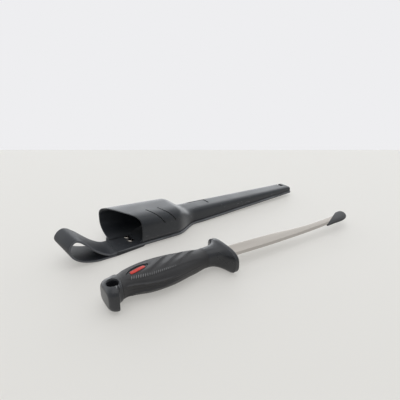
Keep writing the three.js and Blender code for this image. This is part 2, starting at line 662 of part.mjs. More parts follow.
// The back plate under the shell, with the rivet holes and a corner cut back beside the strap.
function makeSheathBack() {
  const places = [0, RIM_START, ...shellPlaces.filter((x) => x > RIM_START), sheathLength];
  let plate = loft(places.map(plateSection)).subtract(lashingNotch());
  for (const y of rivetRow) {
    plate = plate.subtract(rivetHole(y));
  }
  return plate;
}

const rivetRow = [RIVET_FIRST_Y, RIVET_FIRST_Y - RIVET_SPACING];
const tabTop = -GAP;
const tabBottom = tabTop - PLATE_THICKNESS;

function rivetHole(y) {
  const radius = RIVET_SHANK / 2 + GAP;
  const [low, high] = [tabBottom - OVERLAP, PLATE_THICKNESS + OVERLAP];
  return turned([[0, low], [radius, low], [radius, high], [0, high]], RIVET_AT, y);
}

// The rivet: a domed head on the plate and a shank down through the tab.
function makeRivet(y) {
  const [seat, end] = [PLATE_THICKNESS + GAP, tabBottom + GAP];
  const [shank, head] = [RIVET_SHANK / 2, RIVET_HEAD / 2];
  const dome = steps(0, Math.PI / 2, ROUNDING_STEPS).slice(0, -1)
    .map((turn) => [head * Math.cos(turn), seat + RIVET_HEAD_HEIGHT * Math.sin(turn)]);
  return turned([[0, end], [shank, end], [shank, seat], ...dome, [0, seat + RIVET_HEAD_HEIGHT]], RIVET_AT, y);
}

// The washer under the tab, let into it so that the tab lies flat.
function makeWasher(y) {
  const [bore, rim] = [RIVET_SHANK / 2 + GAP, WASHER_DIAMETER / 2];
  const low = tabBottom + GAP;
  const high = low + WASHER_THICKNESS;
  return turned([[bore, low], [rim, low], [rim, high], [bore, high], [bore, low]], RIVET_AT, y);
}

const strapEdgeSide = STRAP_SPINE_SIDE - STRAP_WIDTH;
const strapMiddle = (STRAP_SPINE_SIDE + strapEdgeSide) / 2;

// The tab: the strap's end under the plate, with a pocket for each washer.
function makeBeltTab() {
  let tab = plan([
    [0, strapEdgeSide],
    [TAB_LENGTH, strapEdgeSide + TAB_TAPER],
    [TAB_LENGTH, STRAP_SPINE_SIDE],
    [0, STRAP_SPINE_SIDE],
  ], tabBottom, tabTop);
  const [rim, low] = [WASHER_DIAMETER / 2 + GAP, tabBottom - OVERLAP];
  const top = tabBottom + WASHER_THICKNESS + 2 * GAP;
  for (const y of rivetRow) {
    const pocket = turned([[0, low], [rim, low], [rim, top], [0, top]], RIVET_AT, y);
    tab = tab.subtract(pocket).subtract(rivetHole(y));
  }
  return tab;
}

// The loop's side line: out from the plate, up over the belt, back along the table to the tab.
function loopLine() {
  const half = PLATE_THICKNESS / 2;
  const low = tabBottom + half;
  const [out, up] = [LOOP_REACH - half, LOOP_HEIGHT - half];
  const over = LOOP_ROUTE_SHARES.map(([x, z]) => [-x * out, z * up]);
  const under = LOOP_FLAT_SHARES.map((x) => [-x * out, low]);
  const points = [[-GAP, half], ...over, ...under, [-GAP, low]];
  return new THREE.CatmullRomCurve3(points.map(([x, z]) => new THREE.Vector3(x, 0, z)), false, "centripetal");
}

// The loop: a band along that line, which opens wider on the spine side and lifts off the table there.
function makeBeltLoop() {
  const line = loopLine();
  const half = PLATE_THICKNESS / 2;
  const face = (side) => steps(0, 1, LOOP_STEPS).map((share) => {
    const point = line.getPoint(share);
    const way = line.getTangent(share);
    return new THREE.Vector2(point.x - side * half * way.z, point.z + side * half * way.x);
  });
  const shape = new THREE.Shape([...face(1), ...face(-1).toReversed()]);
  const band = new THREE.ExtrudeGeometry(shape, { depth: STRAP_WIDTH, bevelEnabled: false });
  band.rotateX(Math.PI / 2).translate(0, STRAP_SPINE_SIDE, 0);
  const places = band.getAttribute("position");
  for (let i = 0; i < places.count; i++) {
    const across = (places.getY(i) - strapMiddle) / STRAP_WIDTH;
    const out = THREE.MathUtils.clamp(-places.getX(i) / LOOP_REACH, 0, 1);
    const grown = 1 + LOOP_SPREAD_SHARE * across * out;
    const tall = (places.getZ(i) - tabBottom) * grown;
    const lift = LOOP_LIFT * (across + 0.5) * out * THREE.MathUtils.clamp(1 - tall / LOOP_HEIGHT, 0, 1);
    places.setX(i, places.getX(i) * grown);
    places.setZ(i, tabBottom + tall + lift);
  }
  return solid(band);
}

// A group laid down so that its lowest point touches the table.
function laidDown(group) {
  group.updateMatrixWorld(true);
  group.position.z -= new THREE.Box3().setFromObject(group, true).min.z;
  return group;
}

const knife = new THREE.Group();
knife.add(piece("blade", makeBlade(), steel()));
knife.add(piece("tip_guard", makeTipGuard(), softGrip()));
knife.add(piece("handle_core", makeHandleCore(), hardPlastic()));
knife.add(piece("grip_sleeve", makeGripSleeve(), softGrip()));
knife.add(piece("badge", makeBadge(), material(0xb02a24, 0.5, 0)));

const sheath = new THREE.Group();
sheath.add(piece("sheath_front", makeSheathFront(), sheathPlastic()));
sheath.add(piece("sheath_back", makeSheathBack(), sheathPlastic()));
sheath.add(piece("belt_loop", makeBeltLoop(), strapPlastic()));
sheath.add(piece("belt_tab", makeBeltTab(), strapPlastic()));
rivetRow.forEach((y, i) => {
  sheath.add(piece(`rivet_${i + 1}`, makeRivet(y), steel()));
  sheath.add(piece(`rivet_washer_${i + 1}`, makeWasher(y), steel()));
});
sheath.position.set(SHEATH_X, SHEATH_Y, 0);
sheath.rotation.set(0, Math.asin(-tabBottom / (sheathLength - TAB_LENGTH)), SHEATH_TURN, "ZYX");

const set = new THREE.Group();
set.add(laidDown(knife), laidDown(sheath));
set.updateMatrixWorld(true);
const middle = new THREE.Box3().setFromObject(set, true).getCenter(new THREE.Vector3());
set.position.set(-middle.x, -middle.y, 0);

const part = new THREE.Group();
part.add(set);

export default part;
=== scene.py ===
"""Looks of a fillet knife and its belt sheath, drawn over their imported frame. Metres, +Z up."""
import json
from math import ceil, pi, radians

import bmesh
import bpy
import numpy as np
from bpy.props import FloatProperty, FloatVectorProperty, IntProperty, PointerProperty
from mathutils import Matrix, Vector


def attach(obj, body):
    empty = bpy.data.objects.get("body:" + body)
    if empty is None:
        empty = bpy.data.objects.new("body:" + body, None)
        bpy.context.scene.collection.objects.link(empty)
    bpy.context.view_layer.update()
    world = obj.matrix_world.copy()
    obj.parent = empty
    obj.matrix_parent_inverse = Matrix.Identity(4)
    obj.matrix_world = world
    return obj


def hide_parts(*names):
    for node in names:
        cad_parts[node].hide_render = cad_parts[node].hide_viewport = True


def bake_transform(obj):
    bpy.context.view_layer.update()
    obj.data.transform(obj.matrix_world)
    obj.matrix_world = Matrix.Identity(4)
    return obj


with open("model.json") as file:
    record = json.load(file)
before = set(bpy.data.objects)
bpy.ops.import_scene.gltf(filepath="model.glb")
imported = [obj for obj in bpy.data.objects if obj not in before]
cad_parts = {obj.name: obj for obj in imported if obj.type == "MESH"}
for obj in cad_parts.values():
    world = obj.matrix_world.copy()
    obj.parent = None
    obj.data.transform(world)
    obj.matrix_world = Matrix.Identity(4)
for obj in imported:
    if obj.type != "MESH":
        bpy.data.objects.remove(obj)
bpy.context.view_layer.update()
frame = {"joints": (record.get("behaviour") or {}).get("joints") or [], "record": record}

bl_info = {
    "name": "Fillet Knife and Sheath",
    "version": (1, 0, 0),
    "blender": (4, 5, 0),
    "location": "3D View > Sidebar > Knife",
    "description": "Draws a fillet knife and its belt sheath over their packed frame",
    "category": "Mesh",
}

MM = 0.001


# Where the knife and the sheath lie in the frame
def named(rows, name):
    """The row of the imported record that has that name."""
    return next(row for row in rows if row["name"] == name)


blade_flat = named(frame["record"]["mounts"], "blade_flat")
sheath_underside = named(frame["record"]["mounts"], "sheath_underside")
loop_bend = named(frame["joints"], "loop_bend")

# The two mounts in the knife's and the sheath's own frames
BLADE_FLAT_AT = Vector((40, 4, 1)) * MM
UNDERSIDE_AT = Vector((80, 0, 0)) * MM

KNIFE = Matrix.Translation(Vector(blade_flat["pos_m"]) - BLADE_FLAT_AT)

sheath_y = Vector(loop_bend["axis"]).normalized()
sheath_z = -Vector(sheath_underside["axis"]).normalized()
sheath_x = sheath_y.cross(sheath_z).normalized()
sheath_turn = Matrix((sheath_x, sheath_y, sheath_z)).transposed()
sheath_origin = Vector(sheath_underside["pos_m"]) - sheath_turn @ UNDERSIDE_AT
SHEATH = Matrix.Translation(sheath_origin) @ sheath_turn.to_4x4()


# Curves and sections
def lerp(low, high, share):
    """The value a share of the way from low to high."""
    return low + (high - low) * share


def smoothstep(low, high, x):
    """0 below low, 1 above high, and a smooth rise between them."""
    share = np.clip((x - low) / (high - low), 0, 1)
    return share * share * (3 - 2 * share)


def between(rise, fall, x):
    """1 between a smooth rise and a smooth fall, each given as (from, to), and 0 outside them."""
    return smoothstep(*rise, x) * (1 - smoothstep(*fall, x))


def bell(off, width):
    """1 where off is 0, falling away on both sides over about that width."""
    return np.exp(-(off / width) ** 2)


def along(stations):
    """A smooth curve through rows of (x, value, ...), as a function that reads its values at x."""
    places, values = stations[:, 0], stations[:, 1:]
    chords = np.diff(values, axis=0) / np.diff(places)[:, None]
    slopes = np.vstack([chords[:1], (chords[1:] + chords[:-1]) / 2, chords[-1:]])

    def read(x):
        x = min(max(x, places[0]), places[-1])
        i = min(int(np.searchsorted(places, x, side="right")) - 1, len(places) - 2)
        step = places[i + 1] - places[i]
        t = (x - places[i]) / step
        ease = t * t * (3 - 2 * t)
        bend = step * (t * (1 - t) ** 2 * slopes[i] - t * t * (1 - t) * slopes[i + 1])
        return lerp(values[i], values[i + 1], ease) + bend

    return read


def ladder(marks, spacing):
    """Places through all the marks, with equal steps of at most spacing between neighbours."""
    places = [marks[0]]
    for low, high in zip(marks, marks[1:]):
        count = max(1, ceil((high - low) / spacing))
        places.extend(np.linspace(low, high, count + 1)[1:])
    return np.array(places)


def round_turns(count):
    """Equal angles once round."""
    return np.linspace(0, 2 * pi, count, endpoint=False)


def quarter_round(radius, count):
    """A rounded edge in steps, each as (how far it has come in, how far it has still to run)."""
    turns = np.linspace(0, pi / 2, count)
    return list(zip(radius * (1 - np.cos(turns)), radius * (1 - np.sin(turns))))


def section(turns, centre, half, power):
    """The (y, z) points of a superellipse round centre."""
    c, s = np.cos(turns), np.sin(turns)
    reach = (np.abs(c) ** power + np.abs(s) ** power) ** (-1 / power)
    return np.column_stack([centre[0] + half[0] * c * reach, centre[1] + half[1] * s * reach])


def at_x(x, points):
    """Section points (y, z) as points in space at x."""
    return np.column_stack([np.full(len(points), x), points])


def at_z(z, points):
    """Plan points (x, y) as points in space at height z."""
    return np.column_stack([points, np.full(len(points), z)])


# The knife's outlines, shared by its pieces: x from the guard's face to the tip, y to the spine
BLADE_REACH = 175 * MM
BLADE_ROOT = 4 * MM
BEVEL_SHARE = 0.6
SPINE_LINE = along(MM * np.array([(-4, 11.4), (60, 8.3), (118, 3.4), (175, 6.4)]))
EDGE_LINE = along(MM * np.array([(-4, -7.6), (60, -9.2), (140, -6.2), (168, -1.9), (175, 5.4)]))
TANG_REACH = 82 * MM
TANG_LOW, TANG_HIGH = 0, 8 * MM

# The grip's edge side, spine side and thickness from its rear end to the neck
SLEEVE_REAR, HEEL, NECK = -108.3 * MM, -99 * MM, -21.45 * MM
GRIP_LINE = along(MM * np.array([
    (-108.3, -10.6, 11.4, 19.6),
    (-99, -9.6, 15.6, 20.4),
    (-82, -13.5, 19.5, 22.6),
    (-60, -13.5, 19.5, 22.6),
    (-41, -9.5, 16.7, 20.2),
    (-21.45, -5.3, 13.3, 18.6),
]))
POMMEL_END, BEAK, POMMEL_FRONT = -123.5 * MM, -115.5 * MM, -108.6 * MM
POMMEL_LINE = along(MM * np.array([
    (-115.5, -20.6, 7.6, 22),
    (-113, -13.5, 9.2, 21.6),
    (-108.6, -11.2, 12, 20.8),
]))
GUARD_RIM_OUTLINE = MM * np.array([-24.6, 23.3, 24])
GUARD_FLARES = np.array([3, 5, 3])
GUARD_ROOT, GUARD_RIM = -21.4 * MM, -4.4 * MM
GRIP_POWER, GUARD_POWER, POMMEL_POWER = 2.4, 3, 4
GRIP_WALL = 2.6 * MM
SEAT_GAP = 0.3 * MM
# The farthest share of the grip's half width at which its height is still worked out
JUST_INSIDE = 0.999


def handle_ring(x, outline, inset, power, turns):
    """One section of the handle from its outline, drawn in by inset."""
    edge, spine, thickness = outline
    half = (spine - edge) / 2 - inset, thickness / 2 - inset
    return at_x(x, section(turns, ((edge + spine) / 2, 0), half, power))


def grip_height(x, y, inset):
    """How high the grip's upper face stands over the point x, y, drawn in by inset."""
    edge, spine, thickness = GRIP_LINE(x)
    off = abs(y - (edge + spine) / 2) / ((spine - edge) / 2 - inset)
    return (thickness / 2 - inset) * (1 - min(off, JUST_INSIDE) ** GRIP_POWER) ** (1 / GRIP_POWER)


# Meshes
class Skin:
    """The points and faces of a piece while it is drawn, with bands between its first rings."""

    def __init__(self, rings=()):
        self.points, self.faces, self.creases = [], [], set()
        self.lines = [self.line(ring) for ring in rings]
        for low, high in zip(self.lines, self.lines[1:]):
            self.band(low, high, closed=True)

    def line(self, points):
        """Adds a line of points and returns their numbers."""
        first = len(self.points)
        self.points.extend(tuple(map(float, point)) for point in points)
        return list(range(first, len(self.points)))

    def band(self, low, high, closed=False):
        """Fills the strip between two lines of equally many points."""
        pairs = list(zip(low, high))
        if closed:
            pairs.append(pairs[0])
        for (a, b), (c, d) in zip(pairs, pairs[1:]):
            self.faces.append((a, c, d, b))

    def crease(self, line):
        """Keeps the edges along a line of points sharp."""
        self.creases.update(frozenset(pair) for pair in zip(line, line[1:]))


def tube(rings):
    """A closed skin through rings of equally many points, with a flat face at both ends."""
    skin = Skin(rings)
    skin.faces += [skin.lines[0], skin.lines[-1]]
    return skin


def hoop(rings):
    """A closed skin through rings of equally many points, joined from the last to the first."""
    skin = Skin(rings)
    skin.band(skin.lines[-1], skin.lines[0], closed=True)
    return skin


def turned(profile, centre, count):
    """Rings round the upright through centre, one for each (radius, z) of a profile."""
    turns = round_turns(count)
    circle = np.column_stack([np.cos(turns), np.sin(turns)])
    return [at_z(z, np.array(centre) + radius * circle) for radius, z in profile]


def placed(name, data):
    """A new object in the scene."""
    made = bpy.data.objects.new(name, data)
    bpy.context.scene.collection.objects.link(made)
    return made


def drawn(name, skin, place):
    """The skin as an object, with its place in its mesh and its faces pointing out."""
    mesh = bpy.data.meshes.new(name)
    mesh.from_pydata(skin.points, [], skin.faces)
    mesh.transform(place)
    shape = bmesh.new()
    shape.from_mesh(mesh)
    bmesh.ops.recalc_face_normals(shape, faces=shape.faces)
    shape.to_mesh(mesh)
    shape.free()
    return placed(name, mesh)


def settled(made):
    """Turns an object's modifiers into its plain mesh."""
    depsgraph = bpy.context.evaluated_depsgraph_get()
    mesh = bpy.data.meshes.new_from_object(made.evaluated_get(depsgraph), depsgraph=depsgraph)
    made.modifiers.clear()
    old, made.data = made.data, mesh
    bpy.data.meshes.remove(old)
    return made


def cut(made, place, *skins):
    """Cuts closed skins out of an object."""
    cutters = [drawn("cutter", skin, place) for skin in skins]
    for cutter in cutters:
        change = made.modifiers.new("cut", "BOOLEAN")
        change.object = cutter
        change.operation = "DIFFERENCE"
        change.solver = "EXACT"
    settled(made)
    for cutter in cutters:
        bpy.data.objects.remove(cutter)
    return made


SHARP_CORNER = radians(34)


def shaded(made, finish, creases=(), sharp=SHARP_CORNER):
    """Shades a piece smooth, except at its corners and creases, in one finish."""
    mesh = made.data
    mesh.shade_smooth()
    mesh.set_sharp_from_angle(angle=sharp)
    if creases:
        for edge in mesh.edges:
            if frozenset(edge.vertices) in creases:
                edge.use_edge_sharp = True
    mesh.materials.clear()
    mesh.materials.append(finish)
    return made


def repainted(made, finish, chosen):
    """Gives a second finish to the chosen faces of a piece."""
    made.data.materials.append(finish)
    last = len(made.data.materials) - 1
    for face in made.data.polygons:
        if chosen(face):
            face.material_index = last
    return made


def fitted(made, body, slot, *nodes):
    """Hands a finished piece to its body and hides the nodes that it stands for. The slot is not
    used.
    """
    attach(made, body)
    if nodes:
        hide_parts(*nodes)
    return made


# Nodes
def linear(code):
    """An sRGB hex colour as linear values with full cover."""
    parts = [int(code[i:i + 2], 16) / 255 for i in (1, 3, 5)]
    return *(p / 12.92 if p <= 0.04045 else ((p + 0.055) / 1.055) ** 2.4 for p in parts), 1.0


def fill(tree, node, links):
    """Fills a node's inputs with values, or with the sockets or nodes that feed them."""
    for name, value in links.items():
        if isinstance(value, bpy.types.Node):
            value = next(socket for socket in value.outputs if socket.enabled)
        if isinstance(value, bpy.types.NodeSocket):
            tree.links.new(value, node.inputs[name])
        else:
            node.inputs[name].default_value = value


def add(tree, kind, links=None, **settings):
    """Adds a node with its settings and fills its inputs."""
    made = tree.nodes.new(kind)
    for name, value in settings.items():
        setattr(made, name, value)
    fill(tree, made, links or {})
    return made


def blank(name):
    """A new material with its tree, its shader and the piece's own coordinates in metres."""
    made = bpy.data.materials.new(name)
    made.use_nodes = True
    tree = made.node_tree
    shader = tree.nodes["Principled BSDF"]
    return made, tree, shader, add(tree, "ShaderNodeTexCoord").outputs["Object"]


def per_length(millimetres):
    """The texture scale that gives a pattern of that size."""
    return 1 / (millimetres * MM)


def ground_stainless_steel(colours):
    """Stainless steel ground lengthwise on a belt: fine streaks and a soft, long gloss."""
    made, tree, shader, here = blank("stainless_steel_ground")
    # Grit leaves lines of about 0.05 mm, drawn 0.5 mm apart and 25 mm long so that they show
    stretch = per_length(25), per_length(0.5), per_length(0.5)
    lengthwise = add(tree, "ShaderNodeMapping", {"Vector": here, "Scale": stretch})
    streaks = add(tree, "ShaderNodeTexNoise", {"Vector": lengthwise, "Scale": 1, "Detail": 3})
    # Faint clouds about 30 mm wide, as a belt leaves them
    cloud = add(tree, "ShaderNodeTexNoise", {"Vector": here, "Scale": per_length(30), "Detail": 2})
    tint = add(tree, "ShaderNodeMix", {
        "Factor": cloud, "A": colours.steel, "B": colours.steel_shade,
    }, data_type="RGBA")
    rough = add(tree, "ShaderNodeMapRange", {"Value": streaks, "To Min": 0.3, "To Max": 0.44})
    bump = add(tree, "ShaderNodeBump", {"Height": streaks, "Strength": 0.25, "Distance": 0.03 * MM})
    fill(tree, shader, {
        "Base Color": tint, "Roughness": rough, "Normal": bump, "Metallic": 1, "Anisotropic": 0.4,
    })
    return made


def bright_rivet_steel(colours):
    """Nickel-plated steel, pressed and tumbled: bright, with faint dents of about 1 mm."""
    made, tree, shader, here = blank("nickel_plated_steel_pressed")
    dents = add(tree, "ShaderNodeTexNoise", {"Vector": here, "Scale": per_length(1.2), "Detail": 2})
    rough = add(tree, "ShaderNodeMapRange", {"Value": dents, "To Min": 0.12, "To Max": 0.26})
    bump = add(tree, "ShaderNodeBump", {"Height": dents, "Strength": 0.3, "Distance": 0.05 * MM})
    fill(tree, shader, {
        "Base Color": colours.steel, "Roughness": rough, "Normal": bump, "Metallic": 1,
    })
    return made


# Moulded polymers: sizes of patches and marks in mm, and the part of their noise that shows
PATCH_SIZE, SCUFF_SIZE = 24, 1.6
RUBBED_FROM, RUBBED_FULL = 0.45, 0.75
DULLED_FROM, DULLED_FULL = 0.3, 0.7
SCUFF_FROM, SCUFF_FULL, SCUFF_COVER = 0.69, 0.79, 0.5
SCUFF_STRETCH, SCUFF_TURN = (0.2, 1, 1), (0, 0, 0.5)
RUBBER_IOR, POLYPROPYLENE_IOR = 1.5, 1.49


def moulded(name, plain, rubbed, *, grain, depth, roughness, ior, haze, scuff=None):
    """A moulded polymer: grain and its depth in mm, uneven gloss, rubbed patches and haze."""
    made, tree, shader, here = blank(name)
    pits = add(tree, "ShaderNodeTexNoise", {
        "Vector": here, "Scale": per_length(grain), "Detail": 2,
    })
    patches = add(tree, "ShaderNodeTexNoise", {
        "Vector": here, "Scale": per_length(PATCH_SIZE), "Detail": 5,
    })
    wear = add(tree, "ShaderNodeMapRange", {
        "Value": patches, "From Min": RUBBED_FROM, "From Max": RUBBED_FULL,
    })
    tint = add(tree, "ShaderNodeMix", {"Factor": wear, "A": plain, "B": rubbed}, data_type="RGBA")
    if scuff is not None:
        # Marks about 1 mm wide and several long, coarser than real scuffs so that they show
        slanting = add(tree, "ShaderNodeMapping", {
            "Vector": here, "Scale": SCUFF_STRETCH, "Rotation": SCUFF_TURN,
        })
        marks = add(tree, "ShaderNodeTexNoise", {
            "Vector": slanting, "Scale": per_length(SCUFF_SIZE),
        })
        few = add(tree, "ShaderNodeMapRange", {
            "Value": marks, "From Min": SCUFF_FROM, "From Max": SCUFF_FULL, "To Max": SCUFF_COVER,
        })
        tint = add(tree, "ShaderNodeMix", {"Factor": few, "A": tint, "B": scuff}, data_type="RGBA")
    rough = add(tree, "ShaderNodeMapRange", {
        "Value": patches, "From Min": DULLED_FROM, "From Max": DULLED_FULL,
        "To Min": roughness[0], "To Max": roughness[1],
    })
    bump = add(tree, "ShaderNodeBump", {"Height": pits, "Strength": 0.5, "Distance": depth * MM})
    fill(tree, shader, {
        "Base Color": tint, "Roughness": rough, "Normal": bump, "IOR": ior,
        "Sheen Weight": haze, "Sheen Roughness": 0.4,
    })
    return made


def nylon_half_gloss(colours):
    """Glass-filled nylon, injection moulded: dark, half gloss, with a fine even grain."""
    return moulded(
        "nylon_moulded", colours.handle, colours.handle_worn,
        grain=0.5, depth=0.03, roughness=(0.24, 0.36), ior=1.53, haze=0.05,
    )


def soft_grip_rubber(colours):
    """Thermoplastic rubber moulded over the handle: dull, with a leathery grain."""
    return moulded(
        "thermoplastic_rubber_moulded", colours.grip, colours.grip_worn,
        grain=0.7, depth=0.07, roughness=(0.42, 0.56), ior=RUBBER_IOR, haze=0.05,
    )


def rib_painted_highlight_rubber(colours):
    """The same rubber on its proud ribs, painted paler as a highlight, and smoother."""
    return moulded(
        "thermoplastic_rubber_rib_painted_highlight", colours.rib, colours.grip_worn,
        grain=0.9, depth=0.02, roughness=(0.3, 0.4), ior=RUBBER_IOR, haze=0.1,
    )


def tip_rubber(colours):
    """Vulcanised rubber, compression moulded: matte and even."""
    return moulded(
        "vulcanised_rubber_moulded", colours.tip_guard, colours.tip_guard_worn,
        grain=0.6, depth=0.04, roughness=(0.55, 0.7), ior=RUBBER_IOR, haze=0.05,
    )


def sheath_polypropylene(colours):
    """Polypropylene, moulded against a fine spark-eroded tool: satin, with pale scuffs."""
    return moulded(
        "polypropylene_moulded", colours.sheath, colours.sheath_worn,
        grain=0.6, depth=0.03, roughness=(0.34, 0.46), ior=POLYPROPYLENE_IOR, haze=0.3,
        scuff=colours.scuff,
    )


def lip_painted_highlight_finish(colours):
    """The same plastic along the lip's upward-sloping bevel, painted paler as a highlight, and
    duller.
    """
    return moulded(
        "polypropylene_lip_painted_highlight", colours.sheath_lip_highlight, colours.sheath_worn,
        grain=0.6, depth=0.04, roughness=(0.5, 0.6), ior=POLYPROPYLENE_IOR, haze=0.2,
    )


def label_line_painted_shade(colours):
    """The same plastic in the label place's sunk line, painted near black as the shade in it, and
    dull.
    """
    return moulded(
        "polypropylene_sunk_painted_shade", colours.label_line_shade, colours.sheath,
        grain=0.6, depth=0.03, roughness=(0.6, 0.7), ior=POLYPROPYLENE_IOR, haze=0,
    )


def strap_polypropylene(colours):
    """Polypropylene strap, flexed in use: a shallower grain than the shell's, and duller."""
    return moulded(
        "polypropylene_strap_moulded", colours.strap, colours.sheath_worn,
        grain=0.9, depth=0.02, roughness=(0.5, 0.62), ior=POLYPROPYLENE_IOR, haze=0,
    )


def strap_side_painted_highlight(colours):
    """The same strap along its sides, painted pale as a highlight on them, with a deeper grain."""
    return moulded(
        "polypropylene_strap_side_painted_highlight", colours.strap_side_highlight, colours.sheath_worn,
        grain=0.7, depth=0.05, roughness=(0.45, 0.6), ior=POLYPROPYLENE_IOR, haze=0.1,
    )


def badge_abs(colours):
    """Black ABS, moulded in a polished tool: a glossy bed for the inlay."""
    return moulded(
        "abs_polished_moulding", colours.badge_bed, colours.handle_worn,
        grain=0.8, depth=0.01, roughness=(0.22, 0.3), ior=1.53, haze=0,
    )


def red_enamel(colours):
    """Red enamel, filled into the badge and cured: an even coat with a slight orange peel."""
    return moulded(
        "enamel_filled", colours.badge, colours.badge_worn,
        grain=1.1, depth=0.02, roughness=(0.3, 0.42), ior=1.5, haze=0,
    )


# Rows of like shapes
ROW_TREE = "row_of_shapes"


def row_tree():
    """A node tree that sets a shape on each point of a mesh, turned and sized by its attributes."""
    tree = bpy.data.node_groups.new(ROW_TREE, "GeometryNodeTree")
    for name, kind in (("Places", "Geometry"), ("Shape", "Object"), ("Finish", "Material")):
        tree.interface.new_socket(name, in_out="INPUT", socket_type="NodeSocket" + kind)
    tree.interface.new_socket("Row", in_out="OUTPUT", socket_type="NodeSocketGeometry")
    given = add(tree, "NodeGroupInput").outputs
    up, way = (
        add(tree, "GeometryNodeInputNamedAttribute", {"Name": name}, data_type="FLOAT_VECTOR")
        for name in ("up", "way")
    )
    size = add(tree, "GeometryNodeInputNamedAttribute", {"Name": "size"}, data_type="FLOAT")
    stood = add(tree, "FunctionNodeAlignRotationToVector", {"Vector": up}, axis="Z")
    faced = add(tree, "FunctionNodeAlignRotationToVector", {
        "Rotation": stood, "Vector": way,
    }, axis="X", pivot_axis="Z")
    shape = add(tree, "GeometryNodeObjectInfo", {"Object": given["Shape"]}).outputs["Geometry"]
    row = add(tree, "GeometryNodeInstanceOnPoints", {
        "Points": given["Places"], "Instance": shape, "Rotation": faced, "Scale": size,
    })
    solid = add(tree, "GeometryNodeRealizeInstances", {"Geometry": row})
    painted = add(tree, "GeometryNodeSetMaterial", {"Geometry": solid, "Material": given["Finish"]})
    add(tree, "NodeGroupOutput", {"Row": painted})
    return tree


def row_of(name, shape, places, finish):
    """Sets a shape at each (point, up, way, size) of a list, as one plain mesh."""
    points, ups, ways, sizes = zip(*places)
    mesh = bpy.data.meshes.new(name)
    mesh.from_pydata([tuple(point) for point in points], [], [])
    for key, values in (("up", ups), ("way", ways)):
        attribute = mesh.attributes.new(key, "FLOAT_VECTOR", "POINT")
        attribute.data.foreach_set("vector", np.array(values, float).ravel())
    mesh.attributes.new("size", "FLOAT", "POINT").data.foreach_set("value", np.array(sizes, float))
    made = placed(name, mesh)
    tree = bpy.data.node_groups.get(ROW_TREE) or row_tree()
    change = made.modifiers.new("row", "NODES")
    change.node_group = tree
    for item in tree.interface.items_tree:
        if item.name in ("Shape", "Finish"):
            change[item.identifier] = shape if item.name == "Shape" else finish
    settled(made)
    bpy.data.objects.remove(shape)
    for key in ("up", "way", "size"):
        if key in made.data.attributes:
            made.data.attributes.remove(made.data.attributes[key])
    return made


# Settings
def length(name, description, millimetres, least=0):
    """A length that a user can change, given in millimetres and kept in metres."""
    return FloatProperty(
        name=name, description=description, default=millimetres * MM, min=least * MM, precision=5,
        unit="LENGTH", subtype="DISTANCE",
    )


def amount(name, description, default, unit="NONE"):
    """A plain number that a user can change."""
    return FloatProperty(name=name, description=description, default=default, unit=unit)


def colour(name, description, code):
    """A colour that a user can change, given as an sRGB hex value."""
    return FloatVectorProperty(
        name=name, description=description, default=linear(code), size=4, min=0, max=1,
        subtype="COLOR",
    )


class FinishColours(bpy.types.PropertyGroup):
    """Colours of the materials."""
    steel: colour("Steel", "Ground stainless steel", "#aca59d")
    steel_shade: colour("Steel shade", "Slightly darker clouds in the steel", "#a29b93")
    handle: colour("Handle", "Hard plastic of the guard and the pommel", "#27282b")
    handle_worn: colour("Handle, rubbed", "The same plastic where it is rubbed", "#303135")
    grip: colour("Grip", "Soft rubber of the grip", "#2d2c2d")
    grip_worn: colour("Grip, rubbed", "The same rubber where it is rubbed", "#363536")
    # Painted highlight: the fine ribs are coloured pale for the light they catch
    rib: colour("Ribs", "The same rubber on the fine ribs", "#808080")
    tip_guard: colour("Tip guard", "Rubber of the tip guard", "#303032")
    tip_guard_worn: colour("Tip guard, rubbed", "The same rubber where it is rubbed", "#39393a")
    sheath: colour("Sheath", "Plastic of the sheath", "#23262b")
    sheath_worn: colour("Sheath, rubbed", "The same plastic where it is rubbed", "#2b2d31")
    # Painted highlight on the plate's lip
    sheath_lip_highlight: colour("Sheath's lip", "The same plastic along the plate's rubbed lip", "#66676a")
    scuff: colour("Scuffs", "Pale scuff marks on the sheath", "#8c8d90")
    # Painted shade: the label place's sunk line is coloured near black for the shadow in it
    label_line_shade: colour("Label line", "The same plastic in the label place's sunk line", "#0d0e10")
    strap: colour("Strap", "Plastic of the belt strap", "#303236")
    # Painted highlight along the strap's sides
    strap_side_highlight: colour("Strap edge", "The same plastic along the strap's cut sides", "#55575b")
    badge_bed: colour("Badge bed", "Bed round the badge's inlay", "#17181a")
    badge: colour("Badge", "The badge's inlay", "#d22a18")
    badge_worn: colour("Badge, faded", "The same inlay where it has faded", "#c23626")


class BladeSizes(bpy.types.PropertyGroup):
    """Sizes of the blade's section."""
    thickness: length("Thickness", "Thickness of the blank", 2)
    edge_thickness: length("Edge", "Thickness left at the cutting edge", 0.12)
    bevel_width: length("Bevel", "Width of the ground strip along the edge", 3.2)
    spine_rounding: length("Spine rounding", "Radius of the spine's corners", 0.35)
    spacing: length("Spacing", "Longest step of the mesh along the blade", 1.5)


class TipGuardSizes(bpy.types.PropertyGroup):
    """Sizes of the slip-on tip guard."""
    margin: length("Margin", "Wall beyond the blade's edge", 1.6)
    spine_margin: length("Spine margin", "Wall beyond the blade's spine", 4.6)
    end: length("End", "Wall past the blade's tip", 4)
    thickness: length("Thickness", "Thickness over both walls", 4.4)
    nose: length("Nose", "Length of the rounded end", 4)
    edge_length: length("Edge length", "Where the mouth starts, behind the tip", 39)
    spine_length: length("Spine length", "Where the mouth ends, behind the tip", 4.3)
    groove_inset: length("Groove inset", "Line of the groove inside the outline", 1.5)
    groove_depth: length("Groove depth", "Depth of that groove", 0.25)


